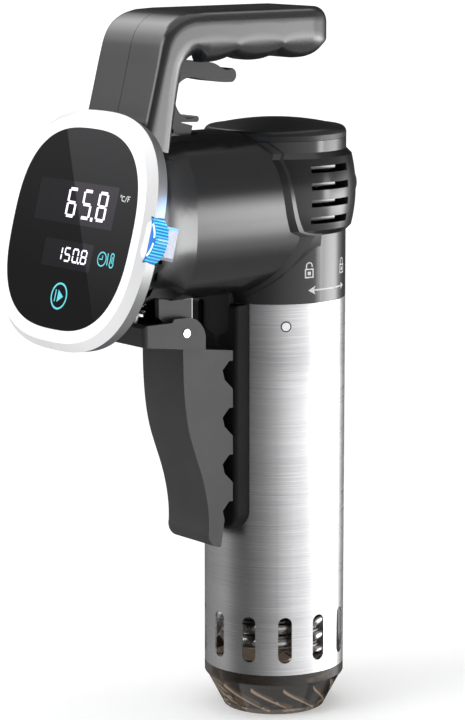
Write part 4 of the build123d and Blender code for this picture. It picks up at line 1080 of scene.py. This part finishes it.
@dataclass
class VentLouvres(Assembly):
    """Curved slats that show inside part of each vent slot.

    The slots are centred on bearings of 6 and 174 degrees, and the slats on 349 and 191.
    The slats named right lie towards -X and those named left towards +X.
    """

    rows: tuple[float, ...] = (213.93, 220.98, 228.03, 235.08)
    starts: tuple[tuple[str, float], ...] = (("right", 168.0), ("left", 326.0))
    sweep: float = 46.0

    def build(self) -> None:
        """Make one slat at the height of each slot, on both sides."""
        for side, start in self.starts:
            for index, rise in enumerate(self.rows):
                lip = [(31.75, rise - 0.15), (31.9, rise + 0.1), (31.9, rise + 1.2),
                       (31.2, rise + 1.3), (30.9, rise + 0.9), (30.9, rise + 0.2),
                       (31.3, rise - 0.15), (31.75, rise - 0.15)]
                piece = self.shop.spin(f"vent_slat_{side}_{index + 1}", lip, start, self.sweep, 36)
                self.shop.finish(piece, "louvre", self.body, "gloss_black")


# --------------------------------------------------------------------------- sleeve
@dataclass
class RivetShadeRings(Assembly):
    """Dark rings of painted shade round the sleeve's pressed rivets."""

    radius: float = 2.05
    width: float = 0.45
    rise: float = 169.65
    tube_radius: float = 30.0
    first_angle: float = -30.0
    count: int = 3

    def build(self) -> None:
        """Make one ring of painted shade at each rivet."""
        ring = [(circle((0.0, self.rise), self.radius, 32), self.width, True)]
        for index in range(self.count):
            drum = Drum(self.tube_radius, self.first_angle + 360.0 / self.count * index)
            self.draw(f"rivet_shade_ring_{index + 1}", ring, drum, RIVET_SHADE_INK)


@dataclass
class PumpVanes(Assembly):
    """Curved guide vanes that show through the smoky cap; their glow is painted light, as they are
    no lamp.
    """

    count: int = 12
    sweep: float = 46.0
    bend: float = 1.3
    outer: Point2 = (27.3, 11.4)                   # radius and height of the outer end
    fall: Point2 = (8.4, 10.2)                     # their loss towards the inner end
    width: Point2 = (1.2, 1.6)                     # inwards and upwards across a vane
    thick: float = 0.45
    steps: int = 14

    def build(self) -> None:
        """Make one vane and turn copies of it round the cap."""
        points: list[Vector] = []
        for step in range(self.steps + 1):
            share = step / self.steps
            turn = math.radians(self.sweep * share ** self.bend)
            reach = self.outer[0] - self.fall[0] * share
            for inset, rise in ((0.0, 0.0), self.width):
                height = self.outer[1] + rise - self.fall[1] * share
                points.append(Vector(((reach - inset) * math.cos(turn),
                                      (reach - inset) * math.sin(turn), height)) / 1000.0)
        faces = [[2 * step, 2 * step + 1, 2 * step + 3, 2 * step + 2]
                 for step in range(self.steps)]
        first = self.shop.thicken(self.shop.mesh("pump_vane_1", points, faces), self.thick)
        for index in range(self.count):
            piece = first
            if index:
                self.shop.select(first)
                bpy.ops.object.duplicate()
                piece = bpy.context.active_object
                piece.name = f"pump_vane_{index + 1}"
                piece.data.transform(Matrix.Rotation(math.tau * index / self.count, 4, "Z"))
            self.shop.finish(piece, "vane_amber_painted_glow", self.body, "smoke")


# --------------------------------------------------------------------------- handle
@dataclass(frozen=True)
class Slice:
    """One cross-section of a handle half, in the plane through its three points.

    Attributes:
        outer: Y and Z of the top or front surface.
        side_end: Y and Z where the flat side meets the inner rounding.
        inner: Y and Z of the underside or rear surface.
        half_width: Distance of the side from the seam.
        outer_round: Depth and width of the outer rounding.
        inner_width: Width of the inner rounding.
    """

    outer: Point2
    side_end: Point2
    inner: Point2
    half_width: float
    outer_round: Point2
    inner_width: float


@dataclass
class HandleShells(Assembly):
    """Two moulded handle halves with rounded edges and finger bulges."""

    seam: float = 0.12
    half_width: float = 22.0
    top: float = 301.0
    start: float = -51.5
    end: float = 15.1
    end_round: float = 7.0
    corner: Point2 = (13.0, 8.5)                   # of the end, seen from above
    finger_middles: tuple[float, ...] = (-48.5, -25.0, -1.5)
    finger_reach: float = 11.75
    finger_shape: float = 0.6                      # below 1 makes a bulge fuller
    crown: Point2 = (0.4, -20.0)                   # narrowing over crown_length, and its start
    crown_length: float = 30.0
    side_foot: Point2 = (287.2, 2.8)               # between bulges, and its rise over them
    underside: Point2 = (283.2, 3.2)               # between bulges, and its drop under them
    run_steps: int = 5
    straight_steps: int = 70
    curved_steps: int = 16
    room_middle: Point2 = (-43.5, 276.0)           # the trigger's space under the grip
    room_size: tuple[float, float, float] = (21.4, 45.0, 30.0)
    bore: Point2 = (3.05, 8.0)                     # over a screw head
    stem: tuple[tuple[Point2, Point2, Point2], ...] = (  # outer, side's end and inner
        ((-87.6, 239.5), (-74.2, 239.5), (-71.4, 239.5)),
        ((-85.3, 247.5), (-73.3, 247.5), (-68.9, 247.5)),
        ((-82.0, 260.0), (-72.2, 260.0), (-65.9, 260.0)),
        ((-79.2, 270.5), (-71.2, 271.0), (-63.2, 271.0)),
        ((-77.0, 279.0), (-69.6, 279.0), (-61.2, 278.5)),
        ((-75.5, 285.0), (-67.9, 282.9), (-59.4, 280.9)),
        ((-74.3, 289.3), (-66.4, 284.9), (-58.2, 281.9)),
        ((-72.4, 293.2), (-64.8, 286.4), (-57.0, 282.6)),
        ((-69.3, 296.6), (-62.6, 287.9), (-55.6, 283.1)),
        ((-64.8, 299.2), (-60.0, 288.7), (-54.0, 283.3)),
        ((-59.4, 300.6), (-57.0, 288.9), (-52.6, 283.0)),
    )

    def build(self) -> None:
        """Make both halves and hide the plain ones under them."""
        slices = self._stem_slices() + self._grip_slices()
        for name, side in (("handle_right", 1.0), ("handle_left", -1.0)):
            rings = [[Vector((side * x, y, z)) / 1000.0 for x, y, z in self._ring(piece)]
                     for piece in slices]
            piece = self.shop.skin(f"{name}_shell", rings)
            self._cut(piece, self._box_cutter())
            if side < 0:
                for y, z in SCREW_PLACES:
                    self._cut(piece, self._hole_cutter(y, z))
            self.shop.smooth(piece, 38)
            self.shop.finish(piece, "handle_shell", self.body, "handle_grey")
            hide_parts(name)

    def _bulge(self, y: float) -> float:
        """Share of a finger bulge under a place along the grip."""
        reach = min(abs(y - middle) for middle in self.finger_middles) / self.finger_reach
        return max(0.0, 1.0 - reach * reach) ** self.finger_shape

    def _width_at(self, y: float) -> float:
        """Distance of the grip's side from the middle.

        Args:
            y: Place along the grip.
        Returns:
            The distance in millimetres.
        """
        reach, depth = self.corner
        late = max(0.0, (y - self.end + reach) / reach)
        crown = self.crown[0] * max(0.0, (y - self.crown[1]) / self.crown_length) ** 2
        return self.half_width - crown - depth * (1 - math.sqrt(max(0.0, 1 - late * late)))

    def _stem_slices(self) -> list[Slice]:
        """Cross-sections from the stem's foot to the bend's end.

        Returns:
            The cross-sections, with roundings that widen towards the grip.
        """
        found = []
        runs = len(self.stem) - 1
        for step in range(runs * self.run_steps + 1):
            index = min(step // self.run_steps, runs - 1)
            part = step / self.run_steps - index
            knots = [self.stem[min(max(index + shift, 0), runs)] for shift in (-1, 0, 1, 2)]
            outer, side_end, inner = (blend_knots([knot[which] for knot in knots], part)
                                      for which in range(3))
            share = max(0.0, (step / self.run_steps - 4) / (runs - 3))
            found.append(Slice(outer, side_end, inner, self.half_width,
                               (2.9 + 1.4 * share, 2.9 + 3.0 * share), 10.0 - 2.0 * share))
        return found

    def _grip_slices(self) -> list[Slice]:
        """Cross-sections along the grip and round its end.

        Returns:
            The cross-sections, evenly spaced up to the end's rounding.
        """
        found = []
        straight, curved = self.straight_steps, self.curved_steps
        for index in range(straight + curved + 1):
            length = self.end - self.end_round - self.start
            y = self.start + length * min(index, straight) / straight
            if index > straight:
                turn = math.pi / 2 * (index - straight) / curved
                y = self.end - self.end_round * (1 - math.sin(turn))
            late = max(0.0, (y - self.end + self.end_round) / self.end_round)
            lost = self.end_round * (1 - math.sqrt(max(0.0, 1 - late * late)))
            swell = self._bulge(y)
            foot = self.side_foot[0] + self.side_foot[1] * swell + lost * 0.25
            under = self.underside[0] - self.underside[1] * swell + lost
            found.append(Slice((y, self.top - lost), (y, foot), (y, under), self._width_at(y),
                               (4.3, 6.0), 7.5))
        return found

    def _ring(self, piece: Slice) -> list[tuple[float, float, float]]:
        """Outline one cross-section of the +X half.

        Args:
            piece: The cross-section.
        Returns:
            Points round it in millimetres.
        """
        outer, side_end, inner = Vector(piece.outer), Vector(piece.side_end), Vector(piece.inner)
        depth, width = piece.outer_round
        toward = (side_end - outer).normalized()
        side_start = outer + toward * min(depth, (side_end - outer).length * 0.6)
        wide = piece.half_width
        points = [(self.seam, outer), (wide * 0.45, outer)]
        for index in range(9):
            turn = math.pi / 2 * index / 8
            points.append((wide - width * (1 - math.sin(turn)),
                           side_start + (outer - side_start) * math.cos(turn)))
        for index in range(1, 4):
            points.append((wide, side_start.lerp(side_end, index / 4)))
        for index in range(11):
            turn = math.pi / 2 * index / 10
            points.append((wide - piece.inner_width * (1 - math.cos(turn)),
                           side_end + (inner - side_end) * math.sin(turn)))
        points += [(wide * 0.3, inner), (self.seam, inner)]
        return [(x, place.x, place.y) for x, place in points]

    def _box_cutter(self) -> bpy.types.Object:
        """Make a block the size of the trigger's space under the grip."""
        bpy.ops.object.select_all(action="DESELECT")
        bpy.ops.mesh.primitive_cube_add(size=1.0)
        cutter = bpy.context.active_object
        y, z = self.room_middle
        size = Matrix.Diagonal((*(mm(side) for side in self.room_size), 1.0))
        cutter.data.transform(Matrix.Translation((0.0, mm(y), mm(z))) @ size)
        return cutter

    def _hole_cutter(self, y: float, z: float) -> bpy.types.Object:
        """Make a plug the size of the counterbore over one screw head.

        Args:
            y: Y of the screw.
            z: Its height.
        Returns:
            The plug.
        """
        radius, depth = self.bore
        bpy.ops.object.select_all(action="DESELECT")
        bpy.ops.mesh.primitive_cylinder_add(vertices=40, radius=mm(radius), depth=mm(depth))
        cutter = bpy.context.active_object
        cutter.data.transform(Matrix.Translation((mm(-self.half_width), mm(y), mm(z)))
                              @ Matrix.Rotation(math.radians(90), 4, "Y"))
        return cutter

    def _cut(self, obj: bpy.types.Object, cutter: bpy.types.Object) -> None:
        """Take a cutter's shape out of a piece and remove the cutter.

        Args:
            obj: The piece.
            cutter: What is taken out of it.
        """
        self.shop.select(obj)
        cut = obj.modifiers.new("cut", "BOOLEAN")
        cut.operation = "DIFFERENCE"
        cut.solver = "EXACT"
        cut.object = cutter
        bpy.ops.object.modifier_apply(modifier=cut.name)
        bpy.data.objects.remove(cutter)


@dataclass
class BezelLip(Assembly):
    """Strip of the bezel's bevel that runs on in front of the thumb wheel."""

    plane: DisplayPlane = field(default_factory=DisplayPlane)
    exponent: float = 2.69
    root: float = 44.9                             # half width where the strip starts
    profile: tuple[Point2, ...] = (
        (44.9, 0.03), (45.4, 0.03), (47.0, -1.25), (48.3, -2.1),
        (48.85, -2.56), (48.2, -2.62), (46.2, -1.9), (44.9, -0.6),
    )
    low: float = -11.0
    high: float = 13.0
    sunk: float = 0.50                             # share of the width left at the ends
    ease: float = 3.2                              # how soon the full width is reached
    steps: int = 36

    def build(self) -> None:
        """Skin the strip along the bezel's outline."""
        rings = []
        for step in range(self.steps + 1):
            v = self.low + (self.high - self.low) * step / self.steps
            ease = min(1.0, self.ease * min(step, self.steps - step) / self.steps)
            swell = self.sunk + (1.0 - self.sunk) * ease * ease * (3.0 - 2.0 * ease)
            ring = []
            for edge, lift in self.profile:
                half = self.root + (edge - self.root) * swell
                u = half * (1 - (abs(v) / half) ** self.exponent) ** (1 / self.exponent)
                ring.append(self.plane.place(u, v, lift))
            rings.append(ring)
        piece = self.shop.skin("bezel_lip", rings)
        self.shop.smooth(piece, 50)
        self.shop.finish(piece, "rim_silver", self.body, "silver")


# --------------------------------------------------------------------------- wheel and screws
@dataclass
class WheelPaintedHighlights(Assembly):
    """Painted highlights: glowing arcs on the thumb wheel's rim."""

    plane: DisplayPlane = field(default_factory=DisplayPlane)
    centre: Point2 = (43.0, 1.0)
    radius: float = 8.75
    width: float = 0.9
    arcs: tuple[tuple[str, float, float], ...] = (("upper", 7, 46), ("lower", -46, -7))

    def build(self) -> None:
        """Make a raised arc of painted highlight for each half of the wheel's face."""
        for name, start, end in self.arcs:
            stroke = [(arc(self.centre, self.radius, start, end, 20), self.width, False)]
            self.draw(f"wheel_highlight_arc_{name}", stroke, self.plane, WHEEL_HIGHLIGHT_INK)


@dataclass
class HandleSockets(Assembly):
    """Six-sided sockets in the handle's screw heads, black with painted shade."""

    radius: float = 1.35
    depth: float = 0.14
    side: float = -20.24
    rim: float = 0.15
    sink: float = 0.08

    def build(self) -> None:
        """Make one socket for each screw."""
        for index, (y, z) in enumerate(SCREW_PLACES):
            bpy.ops.object.select_all(action="DESELECT")
            bpy.ops.mesh.primitive_cylinder_add(vertices=6, radius=mm(self.radius),
                                                depth=mm(self.depth))
            piece = bpy.context.active_object
            self._sink_floor(piece)
            piece.name = f"screw_socket_{index + 1}"
            spot = Vector((mm(self.side), mm(y), mm(z)))
            piece.data.transform(Matrix.Translation(spot)
                                 @ Matrix.Rotation(math.radians(90), 4, "Y"))
            self.shop.finish(piece, "painted_shade_black", self.body, "satin_black")

    def _sink_floor(self, piece: bpy.types.Object) -> None:
        """Leave a rim round the socket's lower face and push its floor in.

        Args:
            piece: The socket's plate.
        """
        for face in piece.data.polygons:
            face.select = face.normal.z < -0.9
        bpy.ops.object.mode_set(mode="EDIT")
        bpy.ops.mesh.select_mode(type="FACE")
        bpy.ops.mesh.inset(thickness=mm(self.rim), depth=0.0)
        bpy.ops.transform.translate(value=(0.0, 0.0, mm(self.sink)))
        bpy.ops.object.mode_set(mode="OBJECT")


# --------------------------------------------------------------------------- studio
@dataclass(frozen=True)
class Softbox:
    """One area light aimed at the object."""

    name: str
    azimuth: float
    elevation: float
    distance: float
    width: float
    height: float
    radiance: float
    mirrored: bool = False

    @property
    def watts(self) -> float:
        """Power that gives the panel its radiance."""
        return self.radiance * math.pi * self.width * self.height


SOFTBOXES: tuple[Softbox, ...] = (
    Softbox("key_right", 60, 30, 1.30, 0.50, 0.50, 1.8),
    Softbox("front_left", -98, 28, 1.30, 0.70, 0.60, 5.0, True),
    Softbox("top", -60, 80, 1.30, 0.80, 0.50, 1.8),
)


@dataclass
class Studio:
    """Floor, lights, background and camera."""

    paints: Paintbox
    azimuth: float = 51.7
    elevation: float = 9.904750827586524
    distance: float = 1.2
    shift: Point2 = (-0.01794373862739025, 0.15044818780937766)  # right of the axis, up
    lens: float = 140.48943984734731
    floor_radius: float = 30.0
    tent_radius: float = 2.0
    felt: float = 0.78                             # background where nothing mirrors it
    target: tuple[float, float, float] = (0.0, -0.03, 0.17)
    glow_place: tuple[float, float, float] = (0.047, -0.084, 0.2265)
    glow_colour: Colour = (0.08, 0.42, 1.0)
    glow_watts: float = 0.010

    def build(self) -> None:
        """Set up everything around the object."""
        self._floor()
        self._tent()
        self._world()
        for box in SOFTBOXES:
            self._softbox(box)
        self._wheel_glow()
        self._camera()

    def _floor(self) -> None:
        """Lay a pale round floor under the foot."""
        bpy.ops.object.select_all(action="DESELECT")
        bpy.ops.mesh.primitive_circle_add(vertices=96, radius=self.floor_radius,
                                          fill_type="NGON", location=(0, 0, 0))
        floor = bpy.context.active_object
        floor.name = "floor"
        floor.data.materials.append(self.paints.get("floor"))
        floor.visible_glossy = False

    def _tent(self) -> None:
        """Put up a round light tent that only glossy surfaces see."""
        radius, reach = 1000.0 * self.tent_radius, 1000.0 * TENT_REACH
        shop = Workshop(self.paints)
        tent = shop.spin("light_tent", [(radius, -reach), (radius, reach)], 0.0, 360.0, 96)
        tent.data.materials.append(self.paints.tent_cloth())
        for kind in ("camera", "diffuse", "transmission", "volume_scatter", "shadow"):
            setattr(tent, f"visible_{kind}", False)

    def _world(self) -> None:
        """Set a white background that lights the object only softly."""
        world = bpy.data.worlds.new("studio")
        bpy.context.scene.world = world
        world.use_nodes = True
        world.node_tree.nodes.clear()
        wires = Wiring(world.node_tree)
        output, mix = wires.add("OutputWorld"), wires.add("MixShader")
        wires.feed(mix.inputs["Fac"], wires.seen_share())
        for index, strength in ((1, self.felt), (2, 1.0)):
            light = wires.add("Background")
            wires.feed(light.inputs["Color"], (1.0, 1.0, 1.0, 1.0))
            wires.feed(light.inputs["Strength"], strength)
            wires.feed(mix.inputs[index], light.outputs["Background"])
        wires.feed(output.inputs["Surface"], mix.outputs["Shader"])

    def _softbox(self, box: Softbox) -> None:
        """Add one area light that faces the object.

        Args:
            box: The light.
        """
        data = bpy.data.lights.new(box.name, "AREA")
        data.shape = "RECTANGLE"
        data.size = box.width
        data.size_y = box.height
        data.energy = box.watts
        lamp = bpy.data.objects.new(box.name, data)
        lamp.visible_glossy = box.mirrored
        bpy.context.scene.collection.objects.link(lamp)
        turn, rise = math.radians(box.azimuth), math.radians(box.elevation)
        away = Vector((math.cos(turn) * math.cos(rise), math.sin(turn) * math.cos(rise),
                       math.sin(rise)))
        lamp.location = Vector(self.target) + away * box.distance
        lamp.rotation_euler = away.to_track_quat("Z", "Y").to_euler()

    def _wheel_glow(self) -> None:
        """Add a small blue lamp for the light that the wheel spills round it."""
        data = bpy.data.lights.new("wheel_glow", "POINT")
        data.color = self.glow_colour
        data.energy = self.glow_watts
        data.specular_factor = 0.6
        data.shadow_soft_size = 0.006
        lamp = bpy.data.objects.new("wheel_glow", data)
        lamp.location = self.glow_place
        bpy.context.scene.collection.objects.link(lamp)

    def _camera(self) -> None:
        """Set up the camera."""
        turn, rise = math.radians(self.azimuth), math.radians(self.elevation)
        back = Vector((math.sin(turn) * math.cos(rise), -math.cos(turn) * math.cos(rise),
                       math.sin(rise)))
        right = Vector((math.cos(turn), math.sin(turn), 0.0))
        up = back.cross(right)
        data = bpy.data.cameras.new("camera")
        data.lens = self.lens
        data.sensor_width = 36.0
        data.sensor_fit = "AUTO"
        data.clip_end = 100.0
        camera = bpy.data.objects.new("camera", data)
        bpy.context.scene.collection.objects.link(camera)
        place = right * self.shift[0] + Vector((0, 0, self.shift[1])) + back * self.distance
        frame = Matrix((right, up, back)).transposed().to_4x4()
        camera.matrix_world = Matrix.Translation(place) @ frame
        bpy.context.scene.camera = camera


# --------------------------------------------------------------------------- assembly
@dataclass
class Circulator:
    """The whole visual model."""

    paints: Paintbox = field(default_factory=Paintbox)

    def build(self) -> None:
        """Load the frame, dress it, add the pieces and the studio."""
        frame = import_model()
        bpy.context.scene.view_settings.view_transform = "Standard"
        shop = Workshop(self.paints)
        self._dress(frame["nodes"])
        for kind, body in ((DisplayFace, "head"), (HeadMarks, "head"), (VentLouvres, "head"),
                           (WheelPaintedHighlights, "wheel"), (HandleShells, "head"), (BezelLip, "head"),
                           (RivetShadeRings, "sleeve"), (PumpVanes, "sleeve"), (HandleSockets, "head")):
            kind(shop, body).build()
        Studio(self.paints).build()
        log.info("added %d pieces to %d nodes", shop.count, len(frame["nodes"]))
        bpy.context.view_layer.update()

    def _dress(self, nodes: dict[str, bpy.types.Object]) -> None:
        """Put a finish on each CAD node.

        Args:
            nodes: The nodes by name.
        """
        for name, node in nodes.items():
            material = self.paints.get(NODE_FINISHES[name])
            for holder in node.material_slots:
                holder.material = material
            log.info("node  %-22s %s", name, material.name)


def main() -> None:
    """Build the scene."""
    Circulator().build()


if __name__ == "__main__":
    main()
